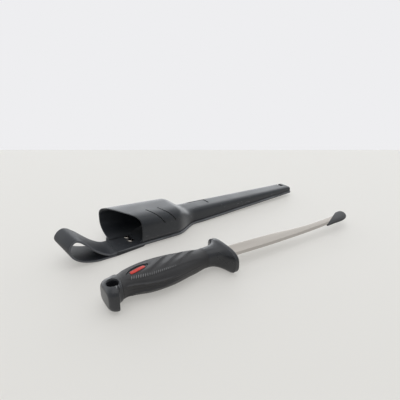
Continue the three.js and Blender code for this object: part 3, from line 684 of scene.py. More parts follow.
class HandleSizes(bpy.types.PropertyGroup):
    """Sizes of the hard core with its guard and its pommel."""
    guard_rounding: length("Guard rounding", "Radius of the guard's front edge", 1.1)
    pommel_rounding: length("Pommel rounding", "How far the pommel's end draws in", 4.8)
    edge_rounding: length("Edge rounding", "Radius of the edges beside the sleeve", 0.12)
    hole: length("Lanyard hole", "Diameter of the hole in the pommel", 10)
    hole_lip: length("Hole lip", "Radius of the hole's rounded lips", 2.6)
    hole_y: length("Hole place", "Height of the hole on the handle's side", -5.6, least=-20)


class GripSizes(bpy.types.PropertyGroup):
    """Sizes of the soft sleeve and its relief."""
    scale_rise: length("Scale rise", "Height of each overlapping scale's front", 1.2)
    scale_pitch: length("Scale pitch", "From one scale's front to the next", 15.5)
    panel_rise: length("Panel rise", "Height of the scaled panel over the sides", 0.5)
    ridge_rise: length("Ridge rise", "Height of the ridge below the panel", 1.4)
    seam_rise: length("Seam rise", "Height of the mould's seam along the edge side", 0.4)
    rib_length: length("Rib length", "Length of the fine ribs along the panel's edge", 3.4)
    rib_width: length("Rib width", "Width of those ribs", 0.85)
    ribs: IntProperty(
        name="Ribs", description="Fine ribs along one edge of the panel", default=22, min=2,
    )


class BadgeSizes(bpy.types.PropertyGroup):
    """Sizes of the almond-shaped badge."""
    length: length("Length", "Length of the almond", 22.5)
    width: length("Width", "Width of the almond", 8.8)
    thickness: length("Thickness", "Thickness of the badge", 0.9)
    depth: length("Depth", "How far its face lies below the sleeve", 0.4)
    bar_length: length("Bar length", "Length of the red inlay", 15)
    bar_width: length("Bar width", "Width of the red inlay", 3.9)


class SheathSizes(bpy.types.PropertyGroup):
    """Sizes of the sheath's shell and its back plate."""
    wall: length("Wall", "Thickness of the shell", 1.8)
    lip_rounding: length("Lip rounding", "Radius of the mouth's rim", 0.7)
    tail_rounding: length("Tail rounding", "Radius of the tail's end", 2.4)
    slit_width: length("Slit width", "Width of the two slits", 1.3)
    label_groove: length("Label groove", "Width of the line beside the bare label place", 2)
    label_depth: length("Label depth", "Depth of that line", 0.8)
    plate_thickness: length("Plate thickness", "Thickness of the back plate", 2.2)
    plate_lip: length("Plate lip", "How far the plate stands out past the shell", 2.2)
    plate_bevel: length("Plate bevel", "Width and height of the lip's sloping upper edge", 1.5)
    spacing: length("Spacing", "Longest step of the mesh along the sheath", 2)


class StrapSizes(bpy.types.PropertyGroup):
    """Sizes of the belt strap."""
    width: length("Width", "Width of the strap", 30.5)
    thickness: length("Thickness", "Thickness of the strap", 2.2)
    rounding: length("Rounding", "Radius of the strap's edges", 0.7)
    tab_length: length("Tab length", "Length of the end under the plate", 35)
    tab_taper: length("Tab taper", "How far the tab's edge side draws in", 3.5)
    tab_rounding: length("Tab rounding", "Radius of the tab's rear corners", 5)
    bend_length: length("Bend length", "How far from the plate the strap bends", 16)


class RivetSizes(bpy.types.PropertyGroup):
    """Sizes of the rivets and their washers."""
    head: length("Head", "Diameter of the domed head", 6.4)
    head_height: length("Head height", "Height of the dome", 1.6)
    shank: length("Shank", "Diameter of the shank", 3)
    washer: length("Washer", "Diameter of the washer", 6.4)
    washer_thickness: length("Washer thickness", "Thickness of the washer", 0.7)


class StageSettings(bpy.types.PropertyGroup):
    """The floor, the light and the camera."""
    floor: colour("Floor", "The pale floor", "#b1afab")
    floor_light: amount("Floor light", "Strength of the light from under the floor", 0.75)
    backdrop: colour("Backdrop", "What the camera sees past the floor", "#eeeef0")
    daylight: colour("Daylight", "Colour of the light all round", "#f9fcff")
    light: amount("Light", "Power of the overhead light", 3.6, "POWER")
    sky: amount("Sky", "Strength of the light from behind the object", 0.8)
    fill: amount("Fill", "Strength of the light from the camera's side", 0.5)
    glow: amount("Glow", "Added strength of the wall low behind the object", 1.7)
    lens: amount("Lens", "Focal length for a 36 mm sensor", 36, "CAMERA")


class KnifeSettings(bpy.types.PropertyGroup):
    """All the settings of the knife, its sheath and the stage."""
    colours: PointerProperty(type=FinishColours)
    blade: PointerProperty(type=BladeSizes)
    tip_guard: PointerProperty(type=TipGuardSizes)
    handle: PointerProperty(type=HandleSizes)
    grip: PointerProperty(type=GripSizes)
    badge: PointerProperty(type=BadgeSizes)
    sheath: PointerProperty(type=SheathSizes)
    strap: PointerProperty(type=StrapSizes)
    rivets: PointerProperty(type=RivetSizes)
    stage: PointerProperty(type=StageSettings)


# Blade
ARC_POINTS = 5
TANG_SIDE = 0.9 * MM
FLAT_START = 0.12
TIP_ZONE, TIP_SPACING = 20 * MM, 0.7 * MM


def blade_outline(spine, bevel, edge, side, lip, rounding):
    """A blade section's (y, z) points: rounded spine, flat side, bevel, edge, and back up again."""
    corner = [(spine - inset, side - left) for inset, left in quarter_round(rounding, ARC_POINTS)]
    half = [*corner, (lerp(spine - rounding, bevel, FLAT_START), side), (bevel, side), (edge, lip)]
    return np.array(half + [(y, -z) for y, z in reversed(half)])


def blade_section(x, sizes):
    """The blade's section at x."""
    spine, edge = SPINE_LINE(x)[0], EDGE_LINE(x)[0]
    bevel = min(edge + sizes.bevel_width, lerp(edge, spine, BEVEL_SHARE))
    rounding = min(sizes.spine_rounding, (spine - bevel) / 3)
    side, lip = sizes.thickness / 2, sizes.edge_thickness / 2
    return at_x(x, blade_outline(spine, bevel, edge, side, lip, rounding))


class KNIFE_OT_blade(bpy.types.Operator):
    """Draws the ground blade with its tang"""
    bl_idname = "knife.blade"
    bl_label = "Blade"

    def execute(self, context):
        settings = context.scene.fillet_knife
        sizes = settings.blade
        middle, rounding = (TANG_LOW + TANG_HIGH) / 2, sizes.spine_rounding
        tang = blade_outline(TANG_HIGH, middle, TANG_LOW, TANG_SIDE, TANG_SIDE, rounding)
        tang_rings = [at_x(x, tang) for x in (-TANG_REACH, -BLADE_ROOT)]
        tip_zone = BLADE_REACH - TIP_ZONE
        places = [
            *ladder((-BLADE_ROOT, tip_zone), sizes.spacing),
            *ladder((tip_zone, BLADE_REACH), TIP_SPACING)[1:],
        ]
        skin = tube([*tang_rings, *(blade_section(x, sizes) for x in places)])
        # The bevel's line on both sides of the blade
        for i in (ARC_POINTS + 1, len(tang) - ARC_POINTS - 2):
            skin.crease([line[i] for line in skin.lines[len(tang_rings):]])
        made = drawn("blade_ground", skin, KNIFE)
        shaded(made, ground_stainless_steel(settings.colours), skin.creases)
        fitted(made, "knife", "blade_steel", "blade")
        return {"FINISHED"}


# Tip guard
LEAF_POINTS, LEAF_RINGS, NOSE_RINGS = 96, 26, 14
NOSE_LEFT = 0.15
LEAF_POWER, POCKET_POWER = 3, 6
GROOVE_SOFTNESS = 0.4
LEAF_LIP = 0.35 * MM
LEAF_SHARP_CORNER = radians(60)
MOUTH_HALVINGS = 30


def nose_start(sizes):
    """Where the tip guard's rounded end begins."""
    return BLADE_REACH + sizes.end - sizes.nose


def leaf_outline(x, sizes):
    """Middle, half width and half thickness of the tip guard at x, with its rounded nose."""
    edge = EDGE_LINE(x - sizes.end)[0] - sizes.margin
    spine = SPINE_LINE(x)[0] + sizes.spine_margin
    past = np.clip((x - nose_start(sizes)) / sizes.nose, 0, 1)
    shrink = lerp(NOSE_LEFT, 1, np.sqrt(1 - past ** 2))
    return (edge + spine) / 2, shrink * (spine - edge) / 2, shrink * sizes.thickness / 2


def leaf_point(x, turn, sizes):
    """A point of the tip guard's outside, with the shallow groove that follows its outline."""
    centre, half, thick = leaf_outline(x, sizes)
    y, z = section(np.array([turn]), (centre, 0), (half, thick), LEAF_POWER)[0]
    off_groove = half - abs(y - centre) - sizes.groove_inset
    groove = sizes.groove_depth * bell(off_groove, GROOVE_SOFTNESS * sizes.groove_inset)
    return x, y, z - np.sign(z) * min(groove, abs(z) / 2)


def pocket_point(x, turn, side):
    """A point of the pocket's wall round the blade."""
    floor = EDGE_LINE(x)[0] - SEAT_GAP
    ceiling = SPINE_LINE(BLADE_REACH)[0] + SEAT_GAP
    half = (ceiling - floor) / 2, side
    return x, *section(np.array([turn]), ((floor + ceiling) / 2, 0), half, POCKET_POWER)[0]


class KNIFE_OT_tip_guard(bpy.types.Operator):
    """Draws the slip-on tip guard with its slanting mouth and its pocket"""
    bl_idname = "knife.tip_guard"
    bl_label = "Tip guard"

    def execute(self, context):
        settings = context.scene.fillet_knife
        sizes = settings.tip_guard
        back = BLADE_REACH - sizes.edge_length
        low = EDGE_LINE(back)[0] - sizes.margin
        high = SPINE_LINE(BLADE_REACH)[0] + sizes.spine_margin
        nose = nose_start(sizes)
        side = settings.blade.thickness / 2 + SEAT_GAP

        def mouth(turn):
            """Where the slanting mouth crosses this line of the leaf."""
            behind, ahead = back - sizes.margin, nose
            for _ in range(MOUTH_HALVINGS):
                x = (behind + ahead) / 2
                y = leaf_point(x, turn, sizes)[1]
                crossed = x > lerp(back, BLADE_REACH - sizes.spine_length, (y - low) / (high - low))
                behind, ahead = (behind, x) if crossed else (x, ahead)
            return x

        turns = round_turns(LEAF_POINTS)
        starts = np.array([mouth(turn) for turn in turns])
        shares = np.linspace(0, 1, LEAF_RINGS)
        pocket = [lerp(starts, BLADE_REACH + SEAT_GAP, share) for share in shares[::-1]]
        leaf = [lerp(starts + LEAF_LIP, nose, share) for share in shares]
        for run in np.sin(np.linspace(0, pi / 2, NOSE_RINGS))[1:]:
            leaf.append(np.full(LEAF_POINTS, nose + sizes.nose * run))
        inside = [[pocket_point(x, turn, side) for x, turn in zip(xs, turns)] for xs in pocket]
        outside = [[leaf_point(x, turn, sizes) for x, turn in zip(xs, turns)] for xs in leaf]
        lip = [
            (start - LEAF_LIP, *(np.array(inner[1:]) + np.array(outer[1:])) / 2)
            for start, inner, outer in zip(starts, inside[-1], outside[0])
        ]
        made = drawn("tip_guard_leaf", tube([*inside, lip, *outside]), KNIFE)
        shaded(made, tip_rubber(settings.colours), sharp=LEAF_SHARP_CORNER)
        fitted(made, "tip_guard", "tip_guard_rubber", "tip_guard")
        return {"FINISHED"}


# Handle core
HANDLE_POINTS = 128
POMMEL_RINGS, POMMEL_EDGE_RINGS = 14, 5
GUARD_ROOT_RINGS, FLARE_RINGS, GUARD_FRONT_RINGS = 4, 34, 9
BORE_SPACING = 4 * MM
HOLE_POINTS, HOLE_LIP_RINGS = 72, 9
HOLE_LIP_SINK, HOLE_LIP_TURN = 0.92, radians(75)


def pommel_rings(sizes, turns):
    """The pommel's hook from its rounded end to its raised front edge."""
    beak, edge = POMMEL_LINE(BEAK), sizes.edge_rounding
    rings = []
    for inset, left in reversed(quarter_round(1, POMMEL_RINGS)):
        x = lerp(POMMEL_END, BEAK, left)
        rings.append(handle_ring(x, beak, sizes.pommel_rounding * inset, POMMEL_POWER, turns))
    for x in np.linspace(BEAK, POMMEL_FRONT - edge, POMMEL_RINGS)[1:]:
        power = lerp(POMMEL_POWER, GRIP_POWER, (x - BEAK) / (POMMEL_FRONT - BEAK))
        rings.append(handle_ring(x, POMMEL_LINE(x), 0, power, turns))
    for inset, left in quarter_round(edge, POMMEL_EDGE_RINGS)[1:]:
        x = POMMEL_FRONT - left
        rings.append(handle_ring(x, POMMEL_LINE(x), inset, GRIP_POWER, turns))
    return rings


def guard_rings(sizes, turns):
    """The guard's hollow flare from the neck to its rim, and the rim's rounded front edge."""
    neck, edge = GRIP_LINE(NECK), sizes.edge_rounding
    rings = []
    for inset, left in reversed(quarter_round(edge, GUARD_ROOT_RINGS)):
        rings.append(handle_ring(GUARD_ROOT + left, neck, inset, GRIP_POWER, turns))
    for share in np.linspace(0, 1, FLARE_RINGS)[1:]:
        x = lerp(GUARD_ROOT + edge, GUARD_RIM, share)
        outline = lerp(neck, GUARD_RIM_OUTLINE, share ** GUARD_FLARES)
        rings.append(handle_ring(x, outline, 0, lerp(GRIP_POWER, GUARD_POWER, share), turns))
    for inset, left in quarter_round(sizes.guard_rounding, GUARD_FRONT_RINGS):
        rings.append(handle_ring(-left, GUARD_RIM_OUTLINE, inset, GUARD_POWER, turns))
    return rings


def core_rings(sizes, turns):
    """The whole core: pommel, bar inside the sleeve, and guard."""
    inset = GRIP_WALL + SEAT_GAP
    places = ladder((POMMEL_FRONT, GUARD_ROOT), BORE_SPACING)
    bar = [handle_ring(x, GRIP_LINE(x), inset, GRIP_POWER, turns) for x in places]
    return [*pommel_rings(sizes, turns), *bar, *guard_rings(sizes, turns)]


def slot_skins(sizes):
    """The slot for the blade's root and the one for its tang."""
    side, rounding = sizes.thickness / 2 + SEAT_GAP, sizes.spine_rounding
    spine, edge = SPINE_LINE(-BLADE_ROOT)[0] + SEAT_GAP, EDGE_LINE(-BLADE_ROOT)[0] - SEAT_GAP
    root = blade_outline(spine, edge + sizes.bevel_width, edge, side, side / 2, rounding)
    high, middle, low = TANG_HIGH + SEAT_GAP, (TANG_LOW + TANG_HIGH) / 2, TANG_LOW - SEAT_GAP
    tang = blade_outline(high, middle, low, side, side, rounding)
    slots = (root, -BLADE_ROOT - SEAT_GAP, SEAT_GAP), (tang, -TANG_REACH - SEAT_GAP, -BLADE_ROOT)
    return [tube([at_x(rear, outline), at_x(front, outline)]) for outline, rear, front in slots]


def lanyard_hole(sizes):
    """The hole through the pommel with rounded lips on both sides."""
    radius, lip = sizes.hole / 2, sizes.hole_lip
    top = POMMEL_LINE(BEAK)[2] / 2
    start = top - HOLE_LIP_SINK * lip
    arc = np.linspace(0, HOLE_LIP_TURN, HOLE_LIP_RINGS)
    upper = [(radius + lip * (1 - np.cos(a)), start + lip * np.sin(a)) for a in arc]
    upper.append((upper[-1][0] + lip, 2 * top))
    lower = [(r, -z) for r, z in reversed(upper)]
    return tube(turned(lower + upper, (BEAK, sizes.hole_y), HOLE_POINTS))


class KNIFE_OT_handle(bpy.types.Operator):
    """Draws the hard core: the flared guard, the bar inside the sleeve and the hooked pommel"""
    bl_idname = "knife.handle"
    bl_label = "Handle core"

    def execute(self, context):
        settings = context.scene.fillet_knife
        sizes = settings.handle
        rings = core_rings(sizes, round_turns(HANDLE_POINTS))
        made = drawn("handle_core_moulding", tube(rings), KNIFE)
        cut(made, KNIFE, *slot_skins(settings.blade), lanyard_hole(sizes))
        shaded(made, nylon_half_gloss(settings.colours))
        fitted(made, "knife", "handle_plastic", "handle_core")
        return {"FINISHED"}


# Grip sleeve: angles round the handle in degrees from the spine, the same on both faces
SCALE_FRONTS_AT = -44.5 * MM
SCALE_COUNT = 3
SCALE_MIDDLE = 103
SCALE_LEAN = 0.45 * MM
SCALE_RISE_SHARE = 0.7
SCALE_DROP = 2.5 * MM
SCALES_START, SCALES_STOP = (48, 78), (108, 127)
UNDER_SINK = 0.95 * MM
PANEL_EDGE = along(np.array([
    (-108.3 * MM, 114), (-99.5 * MM, 130), (-90 * MM, 134), (-60 * MM, 133), (-43 * MM, 134),
    (-30 * MM, 140),
]))
PANEL_SOFT_INSIDE, PANEL_SOFT_OUTSIDE = 4, 3
PANEL_STOP = -36 * MM, -26 * MM
RIDGE_LINE = along(np.array([(-106 * MM, 153), (-100 * MM, 158), (-76 * MM, 166), (-50 * MM, 169)]))
RIDGE_START, RIDGE_STOP = (-107 * MM, -101 * MM), (-74 * MM, -46 * MM)
RIDGE_WIDTH, SEAM_WIDTH, SEAM_AT = 4, 2.4, 180
RELIEF_SINK, RELIEF_FADE = 0.35 * MM, 3 * MM
SLEEVE_ROUNDING, SLEEVE_END_RINGS = 0.12 * MM, 6
SLEEVE_SPACING = 0.55 * MM
RIBS_FROM, RIBS_TO = -98.5 * MM, -58 * MM
RIB_INSET, RIB_SPREAD, RIB_LEAN = 5, 3, 0.45
RIB_SMALLEST = 0.4
RIB_POINTS, RIB_RINGS, RIB_BLUNT = 10, 7, 0.1


def grip_relief(x, turns, sizes):
    """How far the sleeve stands out at x, at each angle: scales on a panel, a ridge and a seam."""
    angle = np.degrees(np.minimum(turns, 2 * pi - turns))
    edge = PANEL_EDGE(x)[0]
    on_length = between((SLEEVE_REAR, HEEL), PANEL_STOP, x)
    on_panel = 1 - smoothstep(edge - PANEL_SOFT_INSIDE, edge + PANEL_SOFT_OUTSIDE, angle)
    on_scales = between(SCALES_START, SCALES_STOP, angle) * on_length
    # The face on the table is cut in, so that its scales don't reach below guard and pommel
    relief = sizes.panel_rise * on_panel * on_length - UNDER_SINK * on_scales * (turns > pi)
    for k in range(SCALE_COUNT):
        before = SCALE_FRONTS_AT - k * sizes.scale_pitch + SCALE_LEAN * (SCALE_MIDDLE - angle) - x
        rise = smoothstep(SCALE_RISE_SHARE * sizes.scale_pitch, 0, before) * (before > 0)
        drop = smoothstep(-SCALE_DROP, 0, before) * (before <= 0)
        relief = relief + sizes.scale_rise * (rise + drop) * on_scales
    ridge = bell(angle - RIDGE_LINE(x)[0], RIDGE_WIDTH) * between(RIDGE_START, RIDGE_STOP, x)
    seam = bell(SEAM_AT - angle, SEAM_WIDTH) * on_length
    return relief + sizes.ridge_rise * ridge + sizes.seam_rise * seam


def sleeve_ring(x, turns, sizes, inset):
    """One section of the sleeve's outside with its relief, drawn in by inset."""
    edge, spine, thickness = GRIP_LINE(x)
    centre, half = ((edge + spine) / 2, 0), ((spine - edge) / 2, thickness / 2)
    points = section(turns, centre, half, GRIP_POWER)
    off = (points - centre) / half
    normal = np.sign(off) * np.abs(off) ** (GRIP_POWER - 1) / half
    normal /= np.linalg.norm(normal, axis=1)[:, None]
    ends = (SLEEVE_REAR, SLEEVE_REAR + RELIEF_FADE), (NECK - RELIEF_FADE, NECK)
    stands = between(*ends, x) * (grip_relief(x, turns, sizes) - RELIEF_SINK) - inset
    return at_x(x, points + normal * stands[:, None])


def sleeve_rings(sizes, turns):
    """The sleeve as a tube with a bore: along its outside, then back along its inside."""
    arc = quarter_round(SLEEVE_ROUNDING, SLEEVE_END_RINGS)[1:]
    straight = ladder((SLEEVE_REAR + SLEEVE_ROUNDING, NECK - SLEEVE_ROUNDING), SLEEVE_SPACING)
    stations = [(SLEEVE_REAR + left, inset) for inset, left in reversed(arc)]
    stations += [(x, 0) for x in straight]
    stations += [(NECK - left, inset) for inset, left in arc]
    outside = [sleeve_ring(x, turns, sizes, inset) for x, inset in stations]
    bore = ladder((SLEEVE_REAR, NECK), BORE_SPACING)[::-1]
    return outside + [handle_ring(x, GRIP_LINE(x), GRIP_WALL, GRIP_POWER, turns) for x in bore]


def rib_skin(sizes):
    """One fine rib along x, round and drawn in to blunt ends."""
    rings = []
    for a in np.linspace(-pi / 2, pi / 2, RIB_RINGS):
        radius = sizes.rib_width / 2 * max(np.cos(a), RIB_BLUNT)
        circle = section(round_turns(RIB_POINTS), (0, 0), (radius, radius), 2)
        rings.append(at_x(sizes.rib_length / 2 * np.sin(a), circle))
    return tube(rings)


def panel_ribs(sizes):
    """Places of the fine ribs along the panel's edge on both faces, with directions and sizes."""
    places = []
    for x in np.linspace(RIBS_FROM, RIBS_TO, sizes.ribs):
        size = np.interp(x, ((RIBS_FROM + RIBS_TO) / 2, RIBS_TO), (1, RIB_SMALLEST))
        for face in (1, -1):
            across = np.radians(PANEL_EDGE(x)[0] - RIB_INSET + RIB_SPREAD * np.array([-1, 0, 1]))
            turns = across * face % (2 * pi)
            low, here, high = sleeve_ring(x, turns, sizes, 0)
            onward = Vector(sleeve_ring(x + MM, turns, sizes, 0)[1] - here)
            way = (Vector(high - low).normalized() - RIB_LEAN * onward.normalized()).normalized()
            up = onward.cross(way).normalized()
            centre = Vector((x, sum(GRIP_LINE(x)[:2]) / 2, 0))
            if up.dot(Vector(here) - centre) < 0:
                up.negate()
            places.append((KNIFE @ Vector(here), up, way, size))
    return places


class KNIFE_OT_grip(bpy.types.Operator):
    """Draws the soft sleeve with its scales, and the fine ribs along its panel"""
    bl_idname = "knife.grip"
    bl_label = "Grip"

    def execute(self, context):
        settings = context.scene.fillet_knife
        sizes, badge = settings.grip, settings.badge
        rings = sleeve_rings(sizes, round_turns(HANDLE_POINTS))
        made = drawn("grip_sleeve_moulding", hoop(rings), KNIFE)
        floor = badge_floor(badge) + SEAT_GAP
        cut(made, KNIFE, badge_skin(badge, SEAT_GAP, -BADGE_CLEARANCE, floor))
        shaded(made, soft_grip_rubber(settings.colours))
        fitted(made, "knife", "grip_rubber", "grip_sleeve")
        # The ribs' pale finish is a painted highlight
        finish = rib_painted_highlight_rubber(settings.colours)
        rib = shaded(drawn("rib", rib_skin(sizes), Matrix()), finish)
        ribs = row_of("grip_ribs", rib, panel_ribs(sizes), finish)
        fitted(ribs, "knife", "grip_rubber")
        return {"FINISHED"}


# Badge: its layers are copies of an outline, each a share of its size
BADGE_AT = Vector((-90, 2.4)) * MM
BADGE_TURN = radians(12)
BADGE_POWER, BADGE_POINTS = 1.5, 64
BADGE_CLEARANCE = 5 * MM
BADGE_DISH = 0.3 * MM
BADGE_MIDDLE, BADGE_RIM, BADGE_RIM_TOP = 0.5, 0.84, 0.89
BADGE_EDGE, BADGE_EDGE_DROP = 0.98, 0.2 * MM
BAR_POWER, BAR_POINTS = 5, 48
BAR_RISE = 0.1 * MM
BAR_MIDDLE, BAR_EDGE, BAR_EDGE_DROP = 0.6, 0.95, 0.15 * MM
LAYER_CENTRE = 0.02


def badge_floor(sizes):
    """How far the badge's underside lies below the sleeve's surface."""
    return sizes.depth + sizes.thickness


def badge_point(u, v, inset):
    """A point at u along and v across the badge, that far below the sleeve's surface."""
    x = BADGE_AT.x + u * np.cos(BADGE_TURN) - v * np.sin(BADGE_TURN)
    y = BADGE_AT.y + u * np.sin(BADGE_TURN) + v * np.cos(BADGE_TURN)
    return x, y, grip_height(x, y, 0) - inset


def badge_layers(outline, steps):
    """A skin through copies of an outline, each at its (share of the size, depth below grip)."""
    return tube([
        [badge_point(u * share, v * share, inset) for u, v in outline] for share, inset in steps
    ])


def badge_skin(sizes, grow, top, floor, dish=0.0):
    """The almond, grown all round, from its floor up to its top, with a dish inside its rim."""
    turns = round_turns(BADGE_POINTS)
    wide = np.sign(np.sin(turns)) * np.abs(np.sin(turns)) ** BADGE_POWER
    half_length, half_width = sizes.length / 2 + grow, sizes.width / 2 + grow
    steps = [(share, floor) for share in (LAYER_CENTRE, BADGE_MIDDLE, 1)]
    steps += [(1, top + BADGE_EDGE_DROP), (BADGE_EDGE, top)]
    if dish:
        steps += [(BADGE_RIM_TOP, top), (BADGE_RIM, top + dish)]
    steps += [(share, top + dish) for share in (BADGE_MIDDLE, LAYER_CENTRE)]
    return badge_layers(np.column_stack([half_length * np.cos(turns), half_width * wide]), steps)


def bar_skin(sizes):
    """The inlay: a bar with rounded corners on the badge's dish."""
    half = sizes.bar_length / 2, sizes.bar_width / 2
    low, high = sizes.depth + BADGE_DISH, sizes.depth - BAR_RISE
    steps = [(share, low) for share in (LAYER_CENTRE, BAR_MIDDLE, 1)]
    steps.append((1, high + BAR_EDGE_DROP))
    steps += [(share, high) for share in (BAR_EDGE, BAR_MIDDLE, LAYER_CENTRE)]
    return badge_layers(section(round_turns(BAR_POINTS), (0, 0), half, BAR_POWER), steps)


class KNIFE_OT_badge(bpy.types.Operator):
    """Draws the almond-shaped badge and its plain red inlay"""
    bl_idname = "knife.badge"
    bl_label = "Badge"

    def execute(self, context):
        settings = context.scene.fillet_knife
        sizes = settings.badge
        skin = badge_skin(sizes, 0, sizes.depth, badge_floor(sizes), BADGE_DISH)
        bed = shaded(drawn("badge_bed", skin, KNIFE), badge_abs(settings.colours))
        fitted(bed, "knife", "badge_plastic", "badge")
        bar = shaded(drawn("badge_inlay", bar_skin(sizes), KNIFE), red_enamel(settings.colours))
        fitted(bar, "knife", "badge_plastic")
        return {"FINISHED"}


# Sheath: x from the mouth to the tail, y to the spine side, z up from the plate's underside
SEAT_AT, CHANNEL_AT, CAVITY_END, SHEATH_END = 78 * MM, 118 * MM, 257 * MM, 274 * MM
SEAT_HALF, CHANNEL_HALF, TAIL_HALF = 26.25 * MM, 14.3 * MM, 10 * MM
MOUTH_FLARE = 0.8 * MM
MOUTH_HEIGHT, SEAT_HEIGHT, CHANNEL_HEIGHT, TAIL_HEIGHT = 33.8 * MM, 29.3 * MM, 17.6 * MM, 12.4 * MM
CHANNEL_OFFSET = 4.5 * MM
SHELL_SINK = 1.1 * MM
SHELL_BASE = 2.5 * MM
TAIL_RISE = 5 * MM
SHELL_POWER, UNDERCUT_POWER, CHANNEL_POWER = 4.2, 2, 4.5
SHOULDER_END = 100 * MM
WAIST_FROM, WAIST_TO = 74 * MM, 108 * MM
RIM_START, RIM_SLANT, RIM_END = 3.3 * MM, 27 * MM, 36 * MM
SLITS_AT = np.array([42.9, 56.8]) * MM
SLIT_TOP_Y, SLIT_LOW_Z = -7 * MM, 19.5 * MM
SLIT_LEAN_ACROSS, SLIT_LEAN_DOWN = 0.3, 0.65
LABEL_FROM, LABEL_TO = 111 * MM, 136 * MM
LABEL_LOW_Y, LABEL_HIGH_Y = 0.95 * MM, 14.25 * MM
NOTCH_FROM, NOTCH_TO, NOTCH_DEPTH = 263.6 * MM, 269 * MM, 11 * MM
STRAP_SPINE_SIDE = 2 * MM
STRAP_EDGE_BREAK = 0.2 * MM
# The lip's bevel with softened ends, in shares of its width and height
BEVEL_STEPS = ((1, 1.15), (0.97, 0.94), (0.06, 0.03), (-0.15, 0))
# The label line's edges and floor, in shares of its width
LABEL_LINE_STEPS, LABEL_FLOOR_HALF = (1, 0.8, 0.2, 0), 0.4
# What counts as sunk and gets the painted shade, in shares of the line's depth
LABEL_SHADE_FROM, LABEL_SHADE_TO = 0.25, 1.2
# The shell's section is sampled once round from its lowest point, and its length in equal columns
SECTION_TURNS = np.radians(np.linspace(269.5, -89.5, 720))
SHEET_COLUMNS, ROW_SPACING, RIM_TRIES = 275, 1 / 84, 12
RIM_COLUMNS, LIP_RINGS, TAIL_RINGS = 12, 5, 7
MARK_SLACK = 0.5 * MM


def along_channel(x):
    """How far x lies along the blade's channel, from 0 to 1."""
    return np.clip((x - CHANNEL_AT) / (SHEATH_END - CHANNEL_AT), 0, 1)


def shell_size(x):
    """Half width, height and middle line of the shell at x."""
    back, taper = 1 - np.clip(x / SEAT_AT, 0, 1), along_channel(x)
    narrowed, lowered = smoothstep(WAIST_FROM, WAIST_TO, x), smoothstep(SEAT_AT, SHOULDER_END, x)
    half = lerp(SEAT_HALF + MOUTH_FLARE * back, lerp(CHANNEL_HALF, TAIL_HALF, taper), narrowed)
    mouth = lerp(SEAT_HEIGHT, MOUTH_HEIGHT, back)
    channel = lerp(CHANNEL_HEIGHT, TAIL_HEIGHT, taper)
    return half, lerp(mouth, channel, lowered), CHANNEL_OFFSET * narrowed


def underside(x):
    """Height of the plate's underside at x: flat under the mouth, then rising along the channel."""
    return TAIL_RISE * along_channel(x)


def shell_profile(x, inset):
    """The shell's section at x, drawn in by inset: (y, z) points from one foot to the other."""
    half, height, centre = shell_size(x)
    middle = (height + underside(x) - SHELL_SINK) / 2
    base = SHELL_BASE + underside(x)
    inward = np.clip(x / SEAT_AT, 0, 1)
    under_spine = (np.cos(SECTION_TURNS) > 0) & (np.sin(SECTION_TURNS) < 0)
    power = np.where(under_spine, lerp(UNDERCUT_POWER, SHELL_POWER, inward), SHELL_POWER)
    power = lerp(power, CHANNEL_POWER, smoothstep(SEAT_AT, SHOULDER_END, x))
    reach = half - inset, height - middle - inset
    points = section(SECTION_TURNS, (centre, middle), reach, power)
    kept = lerp((middle - base + SEAT_GAP) / (height - middle), 1, inward)
    points[under_spine, 1] = lerp(middle, points[under_spine, 1], kept)
    above = np.flatnonzero(points[:, 1] >= base)
    feet = []
    ends = (above[0], above[0] - 1), (above[-1], min(above[-1] + 1, len(points) - 1))
    for inner, outer in ends:
        drop = points[outer, 1] - points[inner, 1]
        share = (base - points[inner, 1]) / drop if drop else 0
        feet.append(lerp(points[inner], points[outer], share))
    return np.vstack([feet[:1], points[above], feet[1:]])


def shares_of(profile):
    """How far along the section each of its points lies, from 0 to 1."""
    steps = np.linalg.norm(np.diff(profile, axis=0), axis=1)
    reach = np.concatenate([[0], np.cumsum(steps)])
    return reach / reach[-1]


def share_at_width(x, y):
    """The share along the section at x where its upper half passes y."""
    profile = shell_profile(x, 0)
    upper = profile[:, 1] > np.max(profile[:, 1]) / 2
    return np.interp(y, profile[upper, 0], shares_of(profile)[upper])


def notch_floor():
    """The y of the lashing notch's floor."""
    half, _, centre = shell_size(NOTCH_TO)
    return centre + half - NOTCH_DEPTH


class ShellSheet:
    """The shell's outside and inside, sampled so that equal shares can be read at any x."""

    def __init__(self, shares, wall):
        self.places = np.linspace(0, SHEATH_END, SHEET_COLUMNS)
        self.faces = []
        for inset in (0, wall):
            rows = []
            for x in self.places:
                profile = shell_profile(x, inset)
                own = shares_of(profile)
                rows.append(np.transpose([np.interp(shares, own, values) for values in profile.T]))
            self.faces.append(np.array(rows))

    def read(self, x, depth):
        """Points of all the rows, each at its own x and a share depth through the wall."""
        rows = np.arange(self.faces[0].shape[1])
        x = np.broadcast_to(x, rows.shape)
        spot = np.clip(x / SHEATH_END, 0, 1) * (len(self.places) - 1)
        low = np.minimum(spot.astype(int), len(self.places) - 2)
        share = (spot - low)[:, None]
        outer, inner = (lerp(face[low, rows], face[low + 1, rows], share) for face in self.faces)
        depth = np.broadcast_to(depth, rows.shape)[:, None]
        return np.column_stack([x, lerp(outer, inner, depth)])

    def rim(self):
        """Where the mouth's rim cuts each row: slanting, and square under the spine side."""
        x = np.full(self.faces[0].shape[1], RIM_SLANT / 2)
        for _ in range(RIM_TRIES):
            _, y, z = self.read(x, 0).T
            slant = RIM_START + RIM_SLANT * (SEAT_HALF - y) / (2 * SEAT_HALF)
            square = (y > 0) & (z < (MOUTH_HEIGHT - SHELL_SINK) / 2)
            x = np.where(square, RIM_START, np.maximum(slant, RIM_START))
        return x


def label_lines(low, high, groove):
    """The marks of a sunk line along a place's high side: the place's low end, then the line's."""
    return [low, *(high - share * groove for share in LABEL_LINE_STEPS)]


